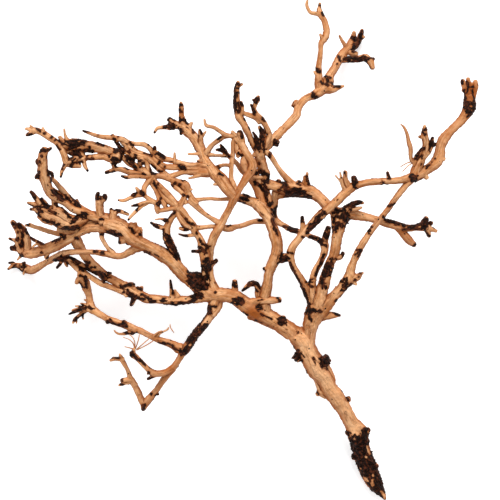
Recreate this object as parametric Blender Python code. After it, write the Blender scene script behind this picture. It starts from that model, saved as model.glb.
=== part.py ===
"""A bare, weathered tree branch, cut at the butt and laid down on three low points.

The branch grew as one piece, so it is one solid: a trunk, its limbs, their twigs, and the knots and
broken stubs on them, all sunk into each other and joined. Places along a limb are given as they look
from straight above, because a limb that lies higher is nearer to the eye and looks larger and further
out than it is. real_places() turns them into true sizes.
"""

import bmesh
import bpy
import numpy as np

MM = 0.001
EYE_DISTANCE = 3000.0  # from the eye down to the picture plane, mm
PICTURE_HEIGHT = 100.0  # height of the plane on which seen and true sizes agree, mm
STOUT = 18.0  # a limb this thick, in mm, has the most sides
SLENDER = 9.0
WISPY = 4.6
SIDES = {"stout": 8, "middling": 6, "slender": 5, "wispy": 4}
END_BULGE = 0.3  # how far an end stands out, as a share of its radius
FLOOR_DEPTH = 40.0  # depth of the block that trims the low points flat, mm
TRIANGLES = 11400  # what the joined surface is thinned to, without a visible change of form

# Each row is a place along a limb: x, y as seen, height of the middle, thickness, all in mm.
LIMBS = {
    # Trunk, from the slanted point of the butt to the first fork
    "trunk": (
        (203, -374, 10, 3), (199, -367, 9, 10), (191, -355, 9.3, 19), (184, -343, 10.5, 24),
        (178, -330, 12, 25), (172, -315, 17, 26), (167, -300, 23, 25), (163, -285, 30, 27.5),
        (160, -272, 37, 30.5), (151, -258, 43, 23), (144.2, -245, 48, 22), (136, -231, 53, 24),
        (127, -218, 58, 28), (118.5, -207, 63, 27), (111.5, -192, 69, 26), (103, -180, 73, 30),
        (97, -168, 77, 30), (92, -158, 80, 28), (87, -147, 83, 27), (80, -136, 86, 29),
        (70, -127, 88, 27),
    ),
    "trunk side bark": ((122, -212, 62, 18), (108, -212, 63, 12), (100, -217, 63, 6)),
    # The long left limb and its two strands
    "left limb": (
        (88, -148, 83, 20), (70, -128, 88, 26), (60, -119, 90, 23), (45, -110, 92, 23),
        (30, -101, 95, 25), (15, -93, 98, 26), (0, -86, 101, 26), (-12, -78, 103, 24),
        (-22, -71, 104, 22), (-32, -68, 105, 21), (-44, -67, 106, 22), (-56, -66, 106, 21),
        (-66, -62, 106, 21), (-75, -54, 106, 22), (-84, -48, 107, 21), (-96, -40, 109, 19),
        (-108, -27, 112, 20), (-120, -15, 116, 20), (-130, -8, 118, 21), (-140, -1.5, 121, 19),
        (-152, 4, 124, 18), (-162, 9, 126, 19), (-172, 14, 127, 22), (-182, 22, 126, 25),
        (-192, 31, 124, 27), (-204, 36, 122, 28), (-215, 39, 120, 22),
    ),
    "upper strand": (
        (-200, 42, 122, 18), (-220, 48, 120, 16), (-240, 52, 120, 14), (-252, 57, 121, 12),
        (-266, 62, 125, 10), (-277, 70, 130, 9), (-288, 76, 136, 10), (-297, 82, 142, 12),
        (-303, 92, 148, 14), (-306, 103, 155, 15), (-310, 115, 161, 15), (-311, 128, 167, 14),
        (-311, 140, 172, 13), (-307, 152, 177, 10),
    ),
    "upper strand tip right": ((-308, 147, 175, 8), (-302, 151, 178, 5), (-298, 153, 180, 3)),
    "upper strand tip left": ((-309, 145, 175, 7), (-312, 149, 178, 4), (-314, 151, 180, 2.5)),
    "upper strand flap": ((-306, 116, 163, 8), (-298, 115, 165, 5), (-295, 106, 164, 3)),
    "upper strand back": (
        (-232, 51, 119, 10), (-239, 53, 118, 11), (-249, 58, 118, 12), (-256, 62, 119, 12),
        (-265, 70, 121, 11), (-273, 79, 124, 9), (-280, 88, 128, 8), (-286, 95, 134, 7),
        (-294, 104, 144, 6), (-303, 108, 156, 5),
    ),
    "lower strand": (
        (-198, 31, 121, 20), (-220, 33, 118, 13), (-240, 33, 114, 13), (-255, 28, 108, 14),
        (-270, 18, 100, 15), (-285, 10, 92, 15), (-300, 3, 86, 16), (-315, -2, 82, 15),
        (-330, -5, 80, 15), (-341, -2, 80, 14), (-347, 10, 84, 12), (-346, 22, 90, 10),
        (-350, 33, 97, 9), (-357, 43, 104, 6),
    ),
    "lower hand finger": (
        (-334, -2, 80, 10), (-334, 12, 85, 10), (-337, 23, 90, 9), (-341, 32, 95, 8),
        (-348, 39, 100, 6),
    ),
    "lower hand tip": ((-341, 12, 84, 8), (-354, 15, 86, 5), (-362, 17.5, 88, 3)),
    "lower hand knob": ((-345, 3, 80, 9), (-353, 3, 80, 9), (-359, 2, 81, 6)),
    "lower hand heel": ((-340, -3, 79, 8), (-344, -9, 78, 4), (-349, -15, 76, 2)),
    "lower twig": ((-308, 5, 88, 7), (-318, 12, 93, 4), (-324, 15, 96, 4), (-331, 20, 99, 2.5)),
    "lower twig spur": ((-310, 4, 87, 6), (-320, 9, 92, 3), (-327, 4, 94, 2.5)),
    "lower bump": ((-303, -3, 85, 8), (-306, -12, 82, 6)),
    "paddle upper half": (
        (-245, 51, 119, 13), (-254, 46, 119, 14), (-265, 44.5, 122, 14), (-276.5, 49, 125, 15.5),
        (-288, 57, 129, 16), (-301, 60.2, 132, 14), (-313, 64.5, 134, 13), (-322, 67, 136, 10),
    ),
    "paddle lower half": (
        (-252, 45, 119, 12), (-264, 38.5, 121, 13), (-279.5, 39, 125, 15.5), (-292, 45.5, 129, 16),
        (-305, 50.5, 132, 14), (-315, 57.5, 134, 12), (-321, 63, 136, 9),
    ),
    "paddle finger high": ((-314, 67, 134, 9), (-320, 77, 139, 7), (-327, 87, 143, 4)),
    "paddle finger left": ((-316, 66, 134, 9), (-326, 69, 138, 6), (-334, 71, 140, 3)),
    "paddle finger low": ((-310, 60, 132, 9), (-322, 61, 132, 6), (-330, 61, 132, 3)),
    "paddle spike": ((-303, 64, 133, 7), (-308, 72, 139, 5), (-313, 78, 143, 3)),
    "paddle link": ((-294, 80, 139, 8), (-293, 70, 134, 9), (-292, 60, 130, 10)),
    "hidden twig": (
        (-268, 22, 100, 9), (-278, 23, 98, 8), (-290, 25, 97, 7), (-305, 29, 99, 6.5),
        (-320, 34, 102, 6), (-333, 37, 105, 4), (-337, 37, 107, 3),
    ),
    "hidden twig tip": ((-322, 34, 102, 5), (-331, 40, 107, 2.5)),
    "left upright stub": (
        (-224, 48, 120, 13), (-226, 65, 126, 12), (-226, 76, 131, 12), (-226, 79, 133, 9),
    ),
    "stub lobe left": ((-227, 74, 130, 8), (-229, 82, 136, 6), (-227, 86, 139, 4)),
    "stub lobe right": ((-223, 74, 131, 8), (-218, 79, 134, 8), (-218, 83, 136, 5)),
    "shoulder bump": ((-206, 44, 124, 14), (-206, 55, 129, 9), (-209, 62, 132, 4)),
    "shoulder twig": ((-205, 54, 128, 8), (-198, 58, 131, 6), (-190, 56, 134, 5), (-182, 53, 137, 3)),
    "shoulder lobe": ((-186, 19, 125, 16), (-193, 13, 123, 9), (-196, 10, 122, 4)),
    # The limb that bridges over to the low left hand, on which the branch rests
    "bridge limb": (
        (-158, 6, 122, 13), (-172, 2, 118, 13), (-181, -3, 116, 11), (-190, -8, 114, 9.5),
        (-200, -9, 112, 9), (-210, -7, 110, 9), (-220, -5, 108, 9), (-235, -3, 104, 8),
        (-250, -3, 97, 7.5), (-265, -3, 88, 8), (-280, -5, 76, 9), (-290, -10, 65, 9),
        (-300, -15.5, 52, 9), (-310, -21, 38, 9), (-320, -27, 23, 10), (-329, -30, 10, 11),
        (-338, -27, 4.2, 12), (-345, -24, 4, 9), (-352, -23, 7, 7), (-358, -25, 10, 5),
        (-363, -29, 12, 3),
    ),
    "bridge hand up": ((-339, -26, 7, 7), (-341, -21, 10, 5), (-337, -18, 12, 2.5)),
    "bridge hand left": ((-352, -23, 7, 6), (-356, -20, 10, 5), (-362, -19, 13, 2.5)),
    "bridge hand low": ((-335, -29, 9, 7), (-339, -33, 10, 4), (-340, -37, 12, 2)),
    "bridge loop": (
        (-222, 34, 117, 9), (-222, 18, 113, 7), (-218, 10, 112, 6), (-213, 3, 111, 6),
        (-205, -5, 111, 8),
    ),
    # Limbs under the left side
    "under limb": (
        (-262, 23, 103, 12), (-258, 10, 90, 14), (-252, 0, 80, 13), (-246, -10, 76, 13),
        (-237, -20, 74, 13), (-227, -30, 73, 12), (-213, -40, 74, 11), (-200, -47.5, 77, 11),
        (-190, -53, 80, 12), (-180, -58, 83, 13), (-170, -64, 86, 14), (-160, -70, 90, 14),
        (-150, -74, 91, 12),
    ),
    "low left limb": (
        (-58, -68, 106, 18), (-75, -71, 103, 16), (-85, -73.5, 100, 13), (-95, -75, 98, 12),
        (-105, -75.5, 96, 12.5), (-115, -76, 95, 13.5), (-125, -75.5, 94, 12), (-140, -74, 92, 11.5),
        (-155, -73, 91, 13), (-165, -69, 88, 12), (-175, -67, 86, 11), (-185, -64, 83, 11),
        (-195, -61, 80, 9), (-205, -57.5, 78, 7.5), (-215, -53.5, 75, 8), (-225, -49.5, 73, 8),
        (-233, -44.5, 71, 7.5), (-240, -40, 69, 7.5), (-248, -35, 68, 9), (-255, -30, 67, 10),
        (-263, -24, 67, 9), (-270, -18, 69, 8), (-277, -14, 71, 9), (-285, -13, 72, 8),
        (-293, -16, 71, 4),
    ),
    "low left upper strand": (
        (-218, -38, 73, 9), (-231, -34, 70, 6), (-240, -29, 69, 6), (-248, -24, 69, 6),
        (-257, -19, 70, 6), (-267, -14, 71, 7), (-278, -12, 72, 8),
    ),
    "low left drip": ((-274, -16, 70, 7), (-276, -20, 70, 5), (-274, -25, 69, 3)),
    "low left flake": ((-281, -14, 71, 6), (-285, -21, 72, 5), (-290, -27, 73, 3)),
    "low left spike": (
        (-117, -76, 95, 11), (-116.5, -68, 98, 9), (-118, -59, 102, 5.5), (-119, -51, 106, 4),
        (-119.5, -45, 109, 2.5),
    ),
    "low left foot": ((-172, -66, 87, 9), (-175, -75, 84, 8), (-178.5, -83, 82, 5)),
    "low left cap": ((-186, -55, 84, 8), (-178, -52, 86, 7), (-173, -53, 86, 4)),
    "under lump": ((-226, -33, 75, 9), (-220, -40, 77, 12), (-219, -46, 77, 6)),
    "falling limb": (
        (-254, -30, 67, 11), (-252, -41, 63, 14), (-247, -50, 57, 14), (-244, -60, 52, 12),
        (-241, -70, 48, 10), (-240, -78, 47, 11), (-239, -86, 48, 15), (-232, -92, 50, 12),
        (-224, -97, 53, 10.5), (-215, -102.5, 56, 10.5), (-205, -106.5, 59, 10.5), (-195, -110, 62, 10),
        (-185, -113, 65, 10.5), (-175, -117.5, 68, 10.5), (-165, -121, 71, 9.5), (-155, -126, 74, 9),
        (-145, -131, 77, 9), (-135, -135.5, 79, 9.5), (-125, -138.5, 81, 10.5), (-115, -142.5, 82, 12),
        (-107, -147, 83, 15), (-97, -150, 84, 13),
    ),
    "falling lobe": ((-250, -40, 62, 10), (-257, -45, 64, 9.5), (-261, -50, 64, 5)),
    "falling under lump": ((-176, -116, 68, 10), (-175, -122, 67, 8), (-178, -126, 66, 5)),
    "falling twig": (
        (-175, -122, 67, 7), (-185, -124.5, 65, 5.5), (-192, -126, 64, 3.5), (-199, -125, 63, 3),
        (-204, -120.5, 64, 2),
    ),
    "spray 1": ((-240, -83, 49, 8), (-248, -82, 52, 4), (-254, -80, 54, 2.5)),
    "spray 2": ((-242, -86, 50, 7), (-250, -86, 54, 4), (-256, -85, 57, 3.5), (-262, -84, 60, 2)),
    "spray 3": ((-243, -88, 49, 7), (-252, -88.5, 50, 4.5), (-260, -89.5, 51, 4.5), (-267, -90.5, 52, 3)),
    "spray 4": ((-243, -88, 47, 7), (-255, -91, 44, 4), (-265, -93.5, 42, 3.5), (-272, -96.5, 41, 2)),
    "spray 5": (
        (-243, -88, 47, 8), (-251, -94, 44, 5.5), (-257, -99, 41, 5), (-262, -103, 39, 5),
        (-266, -110, 37, 2.5),
    ),
    "spray 5 tip": ((-261, -102, 39, 4), (-260, -110, 37, 2)),
    "spray 6": ((-247, -90, 47, 5), (-251, -97, 46, 3), (-250, -104, 45, 2)),
    "spray 7": ((-239, -78, 48, 6), (-245, -76, 51, 3.5), (-248.5, -74.5, 53, 2.5)),
    # The limb that falls to a sharp V at the lower left
    "V limb": (
        (-52, -70, 105, 17), (-55, -84, 102, 17), (-57, -95, 98, 14), (-62, -103, 96, 12.5),
        (-68, -111, 94, 12.5), (-76, -120, 92, 13), (-84, -130, 89, 12.5), (-90, -139, 87, 12.5),
        (-97, -149, 85, 14), (-104, -160, 81, 10), (-110, -170, 77, 10), (-118, -180, 73, 11.5),
        (-126, -190, 68, 10), (-133.5, -200, 64, 9), (-140, -210, 60, 9), (-148.5, -220, 56, 10),
        (-155, -228, 53, 11), (-159, -234, 51, 10), (-160, -240, 49, 5),
    ),
    "V left arm": (
        (-157, -235, 51, 10), (-163, -225, 55, 9.5), (-167, -215, 59, 9.5), (-171, -207, 62, 9.5),
        (-176, -198, 66, 9), (-180.5, -189, 71, 6.5), (-183.5, -180, 76, 5.5), (-188, -172, 80, 6),
        (-192, -165, 83, 6.5), (-194, -160, 85, 5), (-196, -156, 87, 2.5),
    ),
    "V arm hand": (
        (-190, -164, 83, 6), (-198, -163.5, 85, 5.5), (-204, -163.5, 87, 5), (-210, -166, 88, 3),
    ),
    "V arm hand tip": ((-200, -163, 86, 4), (-206, -161, 88, 2.5)),
    "V arm stub": ((-179, -195, 68, 9), (-187, -195, 73, 7.5), (-193, -196, 76, 6)),
    "V arm lower stub": ((-182, -198, 69, 7), (-191, -200.5, 71, 5.5), (-197, -203.5, 70, 2.5)),
    "V arm spur": ((-174, -204, 64, 9), (-169, -201, 66, 3)),
    "V elbow bump": ((-142, -214, 58, 7), (-137, -217, 59, 3)),
    "inner limb": (
        (-116, -178, 74, 11), (-128, -184, 76, 9.5), (-137, -185.5, 79, 10), (-145, -184.5, 83, 9.5),
        (-152, -179.5, 87, 7.5), (-158, -174, 90, 7.5), (-164, -167.5, 93, 7.5), (-170, -162, 96, 8.5),
        (-176, -157, 99, 9), (-178.5, -153.5, 101, 5),
    ),
    "inner limb crown": ((-175, -158, 99, 6), (-174.5, -152, 101, 6), (-173.5, -147, 103, 3)),
    "inner lower stub": ((-139, -186, 80, 7), (-148, -190.5, 79, 5), (-154, -194, 78, 3.5)),
    "inner side stub": ((-147, -182, 85, 6), (-154, -186, 84, 3)),
    "fibre root twig": (
        (-145, -131, 78, 5), (-141, -126, 84, 3), (-136, -122.5, 88, 2), (-132, -121.5, 91, 1.6),
    ),
    "forked twig": (
        (-141, -132, 79, 5), (-135, -125.5, 86, 2.6), (-129, -122, 90, 2.4), (-124, -119.5, 93, 2.2),
        (-122, -116.5, 95, 1.6),
    ),
    # Dark stub limb above the left limb
    "dark stub limb": (
        (-108, -24, 111, 13), (-110, -16, 113, 13), (-113, -6, 118, 11), (-116, 1, 121, 11.5),
        (-120.5, 10, 126, 13.5), (-124, 18, 130, 12.5), (-125, 25, 133, 10.5), (-125, 32, 136, 10),
        (-122, 40, 140, 8), (-118, 47, 143, 8), (-113, 54, 146, 8), (-107, 62, 149, 9),
    ),
    "dark stub arm": ((-124, 32, 136, 8), (-134, 34, 139, 6), (-142, 37, 141, 5.5), (-149, 41.5, 143, 3)),
    "dark stub knob": (
        (-121, 42, 140, 7), (-126, 44, 142, 6), (-133, 46.5, 144, 2.6), (-142, 45.5, 146, 1.6),
    ),
    # Knob where three limbs leave the left limb, and what rises from it
    "knob strand": (
        (-76, -55, 106, 20), (-67, -47, 108, 19), (-66, -38, 113, 16), (-66, -28, 120, 15),
        (-67, -18, 128, 15), (-68, -8, 133, 15), (-70, 0, 136, 15), (-72, 8, 138, 13),
        (-75, 16, 140, 10), (-79, 23, 142, 9), (-84, 30, 144, 10), (-84, 36, 146, 9),
        (-88, 42, 148, 9), (-93, 48, 149, 9), (-99, 56, 150, 10), (-106, 64, 150, 9),
    ),
    "knob strand left stub": ((-68, -2, 136, 9), (-79, -2, 138, 5), (-87, -2, 140, 4)),
    "knob strand right stub": ((-63, -28, 118, 9), (-56, -21, 122, 5.5), (-50, -15, 126, 5.5)),
    "knob strand twig": ((-80, 24, 142, 6), (-88, 22, 144, 4.5), (-96, 21.5, 146, 4), (-107, 24, 149, 2)),
    "knob strand dark stub": ((-90, 34, 145, 7), (-99, 31, 146, 5), (-106, 33, 147, 4)),
    "light front limb": (
        (-54, -60, 106, 16), (-57, -48, 111, 10), (-59, -35, 117, 8), (-59.5, -22, 123, 8),
        (-59.5, -10, 128, 8), (-59, 0, 133, 9), (-58, 9, 137, 11), (-54, 20, 141, 12),
        (-49, 29, 144, 11), (-44, 37, 147, 10.5), (-39, 47, 149, 10), (-33, 58, 151, 9.5),
        (-28, 68, 152, 10), (-24, 77, 153, 12), (-19, 86, 154, 11), (-13, 96, 154, 9),
        (-6, 107, 155, 11), (1, 118, 156, 12), (4, 127, 157, 12), (1, 136, 158, 11),
        (-4, 143, 159, 11), (-9, 151, 160, 11), (-14, 160, 160, 11), (-20, 169, 160, 13),
        (-23, 173, 161, 8),
    ),
    # Small limbs between the left limb and the upper left bundle
    "fan twig low": (
        (-106, 66, 149, 9), (-106, 52, 148, 9), (-101, 44, 147, 10), (-95, 37, 146, 10),
        (-86, 34, 145, 8), (-76, 33.5, 144, 6.5), (-62, 35, 143, 6), (-50, 35.5, 143, 6),
        (-42, 34, 141, 8), (-32, 32.5, 138, 10), (-22, 34.5, 133, 7.5), (-10, 37, 127, 7),
        (0, 41, 121, 7), (10, 43, 116, 7.5), (22, 43, 112, 8), (34, 43, 111, 8),
        (43, 42, 111, 8),
    ),
    "fan left limb": (
        (-108, 60, 149, 9), (-106, 66, 150, 9.5), (-102, 73, 150, 8), (-98, 80, 150, 8),
        (-94, 88, 150, 10), (-97, 96, 150, 13), (-103, 100, 150, 10), (-110, 102, 149, 9),
        (-120, 106, 149, 8), (-130, 110, 148, 8), (-140, 111, 148, 8), (-150, 111, 149, 10),
        (-156, 110, 150, 8), (-166, 110.5, 151, 7), (-176, 110, 153, 6), (-185, 109, 155, 5),
        (-193, 111, 157, 3),
    ),
    "fan side strand": ((-117, 100, 148, 6), (-112, 95, 148, 8), (-106, 90, 149, 8), (-98, 83, 149, 8)),
    "fan right strand": ((-94, 90, 150, 9), (-90, 82, 150, 8), (-86, 74, 149, 10), (-80, 69, 149, 9)),
    "fan cross twig": (
        (-88, 74, 149, 8), (-72, 76, 145, 5), (-60, 77, 141, 4.5), (-45, 76, 135, 4.5),
        (-30, 77, 128, 6), (-19, 77, 124, 9), (-6, 77, 122, 11),
    ),
    "fan diagonal": (
        (-90, 74, 149, 9), (-84, 69, 149, 9), (-76, 61, 148, 7), (-66, 53, 148, 6.5),
        (-56, 46.5, 147, 6.5), (-46, 41, 147, 8), (-40, 39, 147, 7),
    ),
    "fan spur": ((-92, 90, 151, 5), (-87, 91, 153, 3)),
    "fan corner spur": ((-97, 98, 151, 8), (-99, 104, 153, 4)),
    "fan strand a": (
        (-145, 111, 148, 9), (-145, 104, 148, 9), (-135, 95, 148, 8.5), (-122, 82, 149, 8.5),
        (-113, 71, 149, 8.5), (-106, 62, 150, 9),
    ),
    "fan strand b": (
        (-150, 106, 148, 7), (-147, 98, 148, 6), (-142, 90, 148, 5.5), (-138, 82, 147, 6.5),
        (-136, 75, 147, 8), (-139, 68, 148, 8), (-139, 60, 147, 7), (-138, 55, 147, 4),
    ),
    "fan strand c": (
        (-138, 93, 147, 7), (-132, 83, 147, 7), (-124, 75, 148, 8), (-114, 68, 149, 8),
        (-105, 63, 150, 8),
    ),
    "fan strand d": ((-140, 58, 147, 6), (-131, 59.5, 147, 6.5), (-121, 61.5, 148, 6.5), (-107, 64, 150, 8)),
    "fan elbow": (
        (-146, 110, 149, 8), (-154, 101, 149, 7.5), (-159, 92, 150, 7.5), (-160, 85, 151, 9),
        (-168, 82.5, 152, 6.5), (-180, 78, 154, 5), (-190, 74, 156, 4.5), (-198, 75, 157, 2.5),
    ),
    "fan elbow stub": ((-163, 85, 152, 8), (-168, 89, 154, 6), (-171, 94, 156, 3)),
    "fan elbow spur": ((-168, 83, 152, 6), (-174, 83.5, 154, 4), (-178, 82, 155, 3)),
    "fan elbow right": ((-161, 85, 151, 8), (-155, 79, 150, 6), (-148, 75, 150, 5.5), (-138, 69, 149, 8)),
    "fan twig a": (
        (-178, 66, 156, 2.6), (-168, 68, 154, 5), (-158, 71, 152, 5.5), (-148, 72, 150, 5.5),
        (-136, 69, 149, 7),
    ),
    "fan twig b": (
        (-183, 45, 152, 2.5), (-177, 52, 152, 4.5), (-170, 59, 152, 5), (-163, 65, 151, 5),
        (-153, 71, 150, 5),
    ),
    # Upper left bundle
    "bundle root": (
        (-60, 126, 142, 14), (-78, 127, 141, 9), (-90, 127.5, 142, 8), (-105, 131, 144, 7),
        (-120, 135, 146, 8), (-135, 138, 148, 8), (-142, 142, 149, 8), (-147, 148, 151, 7),
        (-152, 154, 153, 7), (-160, 158.5, 155, 6.5), (-170, 159, 157, 6), (-182, 161, 160, 7),
        (-190, 165, 163, 7), (-203, 168, 166, 7), (-215, 169, 169, 6.5), (-228, 171, 172, 5.5),
        (-240, 175, 175, 4.5), (-251, 179, 178, 2.5),
    ),
    "bundle root spur": ((-113, 132, 146, 6), (-113, 140, 149, 4), (-113, 146, 151, 2.5)),
    "bundle stub": ((-143, 144, 150, 6), (-143, 150, 153, 4.5), (-143, 155, 155, 4)),
    "bundle dark ridge": ((-127, 138, 148, 6), (-134, 142, 150, 6), (-140, 147, 151, 5)),
    "bundle tip stub": ((-204, 168, 166, 5), (-206, 173, 169, 4)),
    "bundle lower strand": (
        (-66, 122, 142, 12), (-85, 123.5, 142, 8), (-100, 124, 144, 7), (-115, 124, 146, 7.5),
        (-130, 126, 148, 8), (-140, 132, 150, 7.5), (-149, 139, 152, 7.5), (-158, 143, 153, 7),
        (-170, 146, 155, 9), (-178, 153, 157, 8), (-187, 162, 161, 7),
    ),
    "bundle middle": (
        (-120, 109, 147, 8), (-130, 116, 147, 8), (-138, 123, 149, 9), (-146, 131, 151, 8),
        (-155, 138, 153, 9), (-164, 140, 155, 10), (-174, 143, 156, 11), (-184, 148, 156, 10),
        (-193, 148, 156, 8), (-202, 146, 156, 9),
    ),
    "bundle low cross": (
        (-145, 111, 149, 10), (-155, 116, 150, 10), (-163, 121, 151, 10), (-172, 126, 152, 10),
        (-181, 131, 153, 10), (-189, 138, 154, 9), (-200, 140, 155, 12),
    ),
    "bundle rib": ((-150, 112, 149, 8), (-153, 124, 151, 8), (-158, 134, 153, 9), (-167, 142, 155, 9)),
    "bundle side root": (
        (-62, 116, 143, 13), (-78, 116, 142, 11), (-88, 117, 142, 8), (-100, 117, 143, 7),
        (-112, 113, 145, 7), (-121, 110, 147, 8), (-128, 110, 148, 7),
    ),
    "bundle shelf": (
        (-152, 112, 150, 9), (-160, 115, 150, 9), (-170, 115, 151, 8.5), (-178, 116, 152, 8.5),
        (-188, 119.5, 153, 8), (-198, 121.5, 154, 7), (-208, 119, 155, 6), (-217, 116, 156, 4),
    ),
    "bundle shelf link": ((-200, 120, 154, 6), (-204, 126, 154, 6), (-203, 134, 155, 10)),
    "dark twig": ((-204, 168, 166, 4), (-198, 158, 162, 5.5), (-191, 149, 158, 7)),
    "dark inner twig": (
        (-193, 163, 162, 6), (-187, 157, 160, 7), (-183, 150, 157, 8), (-178, 138, 154, 9),
        (-176, 128, 152, 7),
    ),
    "top finger": (
        (-200, 141, 155, 18), (-207, 146, 156, 14), (-216, 151, 157, 13), (-226, 153, 157, 14),
        (-240, 155, 159, 16), (-255, 157, 161, 15), (-268, 158, 163, 16), (-277, 158, 165, 13),
        (-285, 156, 167, 9),
    ),
    "top finger spike": ((-272, 160, 165, 8), (-277, 171, 169, 4), (-279, 182, 172, 2.5)),
    "top finger ridge": ((-246, 159, 162, 10), (-256, 162, 165, 9), (-268, 163, 167, 8)),
    "lower finger": (
        (-197, 140, 154, 16), (-208, 138, 155, 13), (-220, 140, 156, 9.5), (-235, 139, 157, 8),
        (-248, 138, 158, 8), (-262, 136, 160, 9), (-272, 133, 161, 10), (-279, 132, 162, 8),
    ),
    "lower finger spur": ((-250, 137, 158, 6), (-247, 125, 160, 5.5), (-243, 118, 161, 3)),
    "lower finger knob": ((-257, 136, 159, 8), (-257, 128, 160, 6)),
    "finger link": ((-265, 156, 163, 7), (-257, 148, 161, 6.5), (-250, 139, 159, 6)),
    "far finger": (
        (-276, 134, 162, 10), (-279, 143, 164, 9.5), (-283, 152, 166, 9.5), (-290, 161, 168, 9.5),
        (-300, 168, 170, 9), (-312, 176, 172, 9), (-325, 180, 174, 8), (-337, 182, 176, 3),
    ),
    "far finger low tip": ((-322, 178, 173, 7), (-330, 175, 176, 6), (-336, 172, 177, 3)),
    "far finger high tip": ((-324, 180, 174, 6), (-330, 187, 177, 2.5)),
    "far finger spur": ((-308, 174, 172, 6), (-311, 184, 175, 2.5)),
    "far finger drop": (
        (-276, 135, 162, 9), (-278, 126, 163, 6.5), (-282, 119, 164, 5.5), (-284, 109, 165, 3),
    ),
    # Big upper left limb and its head
    "upper left limb": (
        (-21, 76, 152, 12), (-26, 83, 152, 16), (-35, 94, 150, 18), (-43, 105, 147, 19),
        (-54, 116, 144, 17), (-62, 127, 141, 15), (-70, 140, 138, 14), (-74, 152, 136, 15),
        (-80, 163, 134, 16), (-87, 172, 133, 16), (-95, 180, 132, 17), (-102, 186, 131, 14),
        (-110, 187, 131, 10), (-118, 186, 132, 9.5), (-125, 184.5, 133, 7), (-132, 184, 134, 5.5),
        (-139, 182.5, 135, 5), (-144, 175, 136, 2.5),
    ),
    "head lobe": ((-108, 188, 132, 10), (-116, 192, 134, 9), (-122, 197, 136, 6)),
    "head horn": (
        (-99, 186, 132, 13), (-102, 196, 135, 10), (-103, 206, 138, 7.5), (-103, 215, 141, 7),
        (-103.5, 222, 143, 3),
    ),
    "head spur": ((-101, 183, 131, 7), (-104, 173, 132, 3)),
    "head knob": ((-92, 183, 134, 8), (-87, 191, 137, 4)),
    "limb side stub": (
        (-73, 152, 137, 10), (-73.5, 165, 142, 7.5), (-74, 173, 145, 6.5), (-75.5, 181, 148, 3.5),
    ),
    "limb side spike": ((-73, 169, 144, 5), (-66, 178, 148, 2.5)),
    "rib twig": (
        (-66, 145, 140, 9), (-57, 157, 146, 6.5), (-48, 164, 152, 6.5), (-38, 170, 158, 6),
        (-24, 171, 160, 7),
    ),
    "rib twig thin": ((-62, 143, 140, 6), (-52, 142, 141, 4.4), (-34, 141, 139, 4.4)),
    "rib left twig": ((-70, 145, 139, 7), (-82, 144, 142, 4), (-93, 144, 145, 3)),
    "rib short twig": ((-50, 123, 143, 8), (-42, 127, 147, 5), (-29, 127, 150, 5)),
    "rib spur low": ((-45, 100, 148, 7), (-55, 98, 151, 2.5)),
    "rib spur left": ((-70, 115, 143, 8), (-82, 110, 144, 4.5), (-92, 107.5, 145, 2.5)),
    "rib spur high": ((-66, 134, 140, 9), (-79, 133, 143, 3)),
    # Node on the light limb and the twigs that leave it
    "node left twig": (
        (-18, 170, 160, 9), (-27, 171, 161, 7), (-36, 172, 162, 6.5), (-45, 178, 164, 6),
        (-55, 184, 166, 5.5), (-66, 187, 168, 5), (-68.5, 196, 170, 3),
    ),
    "node vertical twig": (
        (-21, 168, 160, 9), (-25, 160, 156, 7), (-25, 150, 153, 6.5), (-27, 135, 151, 6.5),
        (-28, 120, 150, 6.5), (-28, 107, 150, 7), (-25, 97, 151, 9), (-22, 89, 152, 9),
    ),
    "node horn": ((-21, 170, 160, 8), (-27, 178, 164, 4)),
    "node dark stub": ((-12, 160, 160, 9), (-13, 169, 164, 8.5), (-16, 178, 168, 6.5)),
    "antler": (
        (22, 60, 130, 16), (17, 74, 128, 13), (14, 85, 127, 12.5), (8, 96, 127, 10.5),
        (2, 106, 128, 9.5), (-5, 113, 130, 8), (-12, 120, 132, 7.5), (-20, 130, 134, 6.5),
        (-27, 137, 136, 7), (-34, 143, 138, 7), (-40, 150, 140, 8),
    ),
    "antler tip left": ((-38, 148, 140, 7), (-45, 150, 142, 5), (-51, 150, 143, 3)),
    "antler tip high": ((-39, 148, 140, 7), (-42, 154, 142, 5), (-44.5, 158, 143, 3)),
    # Top limbs above the centre
    "top hub": ((16, 136, 141, 13), (15, 144, 144, 15), (14, 151, 146, 14), (13, 157, 148, 9)),
    "top limb a": (
        (13, 147, 145, 11), (8, 153, 147, 9.5), (2, 165, 150, 8.5), (-4, 178, 152, 9),
        (-10, 190, 154, 10), (-16, 200, 156, 11), (-18.5, 210, 158, 9.5), (-20, 220, 160, 9),
        (-20, 232, 162, 8.5), (-20, 242, 164, 8), (-18.5, 249, 165, 6), (-17.5, 253, 166, 4),
    ),
    "top limb a tip": ((-18, 246, 165, 6), (-11, 249, 167, 3)),
    "top limb a strand": ((-16, 199, 156, 8), (-11, 211, 160, 5), (-13, 223, 162, 3)),
    "top bridge": (
        (-15, 206, 158, 7), (-7, 205, 158, 5), (1, 203, 158, 5), (8, 200, 159, 6), (14, 197, 159, 6),
    ),
    "top limb c": (
        (16, 148, 145, 11), (21, 154, 147, 9), (26, 163, 150, 8.5), (29, 172, 152, 8.5),
        (26, 181, 154, 8.5), (22, 189, 156, 8.5), (15, 198, 158, 8.5), (9, 205, 160, 7),
        (6, 212, 162, 6.5), (8, 219, 164, 6.5), (11, 226, 166, 9), (13, 231, 167, 4),
    ),
    "top limb c tip": ((9, 222, 165, 6), (4, 226, 167, 3)),
    "top limb c spur": ((7, 206, 160, 6), (4, 213, 163, 4), (1, 219, 165, 2.5)),
    "dark spike a": ((14, 147, 147, 8), (12, 160, 152, 7), (8, 171, 157, 4.5), (4, 177, 159, 2.5)),
    "dark spike b": ((16, 150, 148, 8), (18, 162, 153, 6.5), (18.5, 174, 157, 5), (14, 186, 161, 2.5)),
    "hub knob": ((12, 143, 146, 9), (5, 143, 147, 6)),
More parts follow.
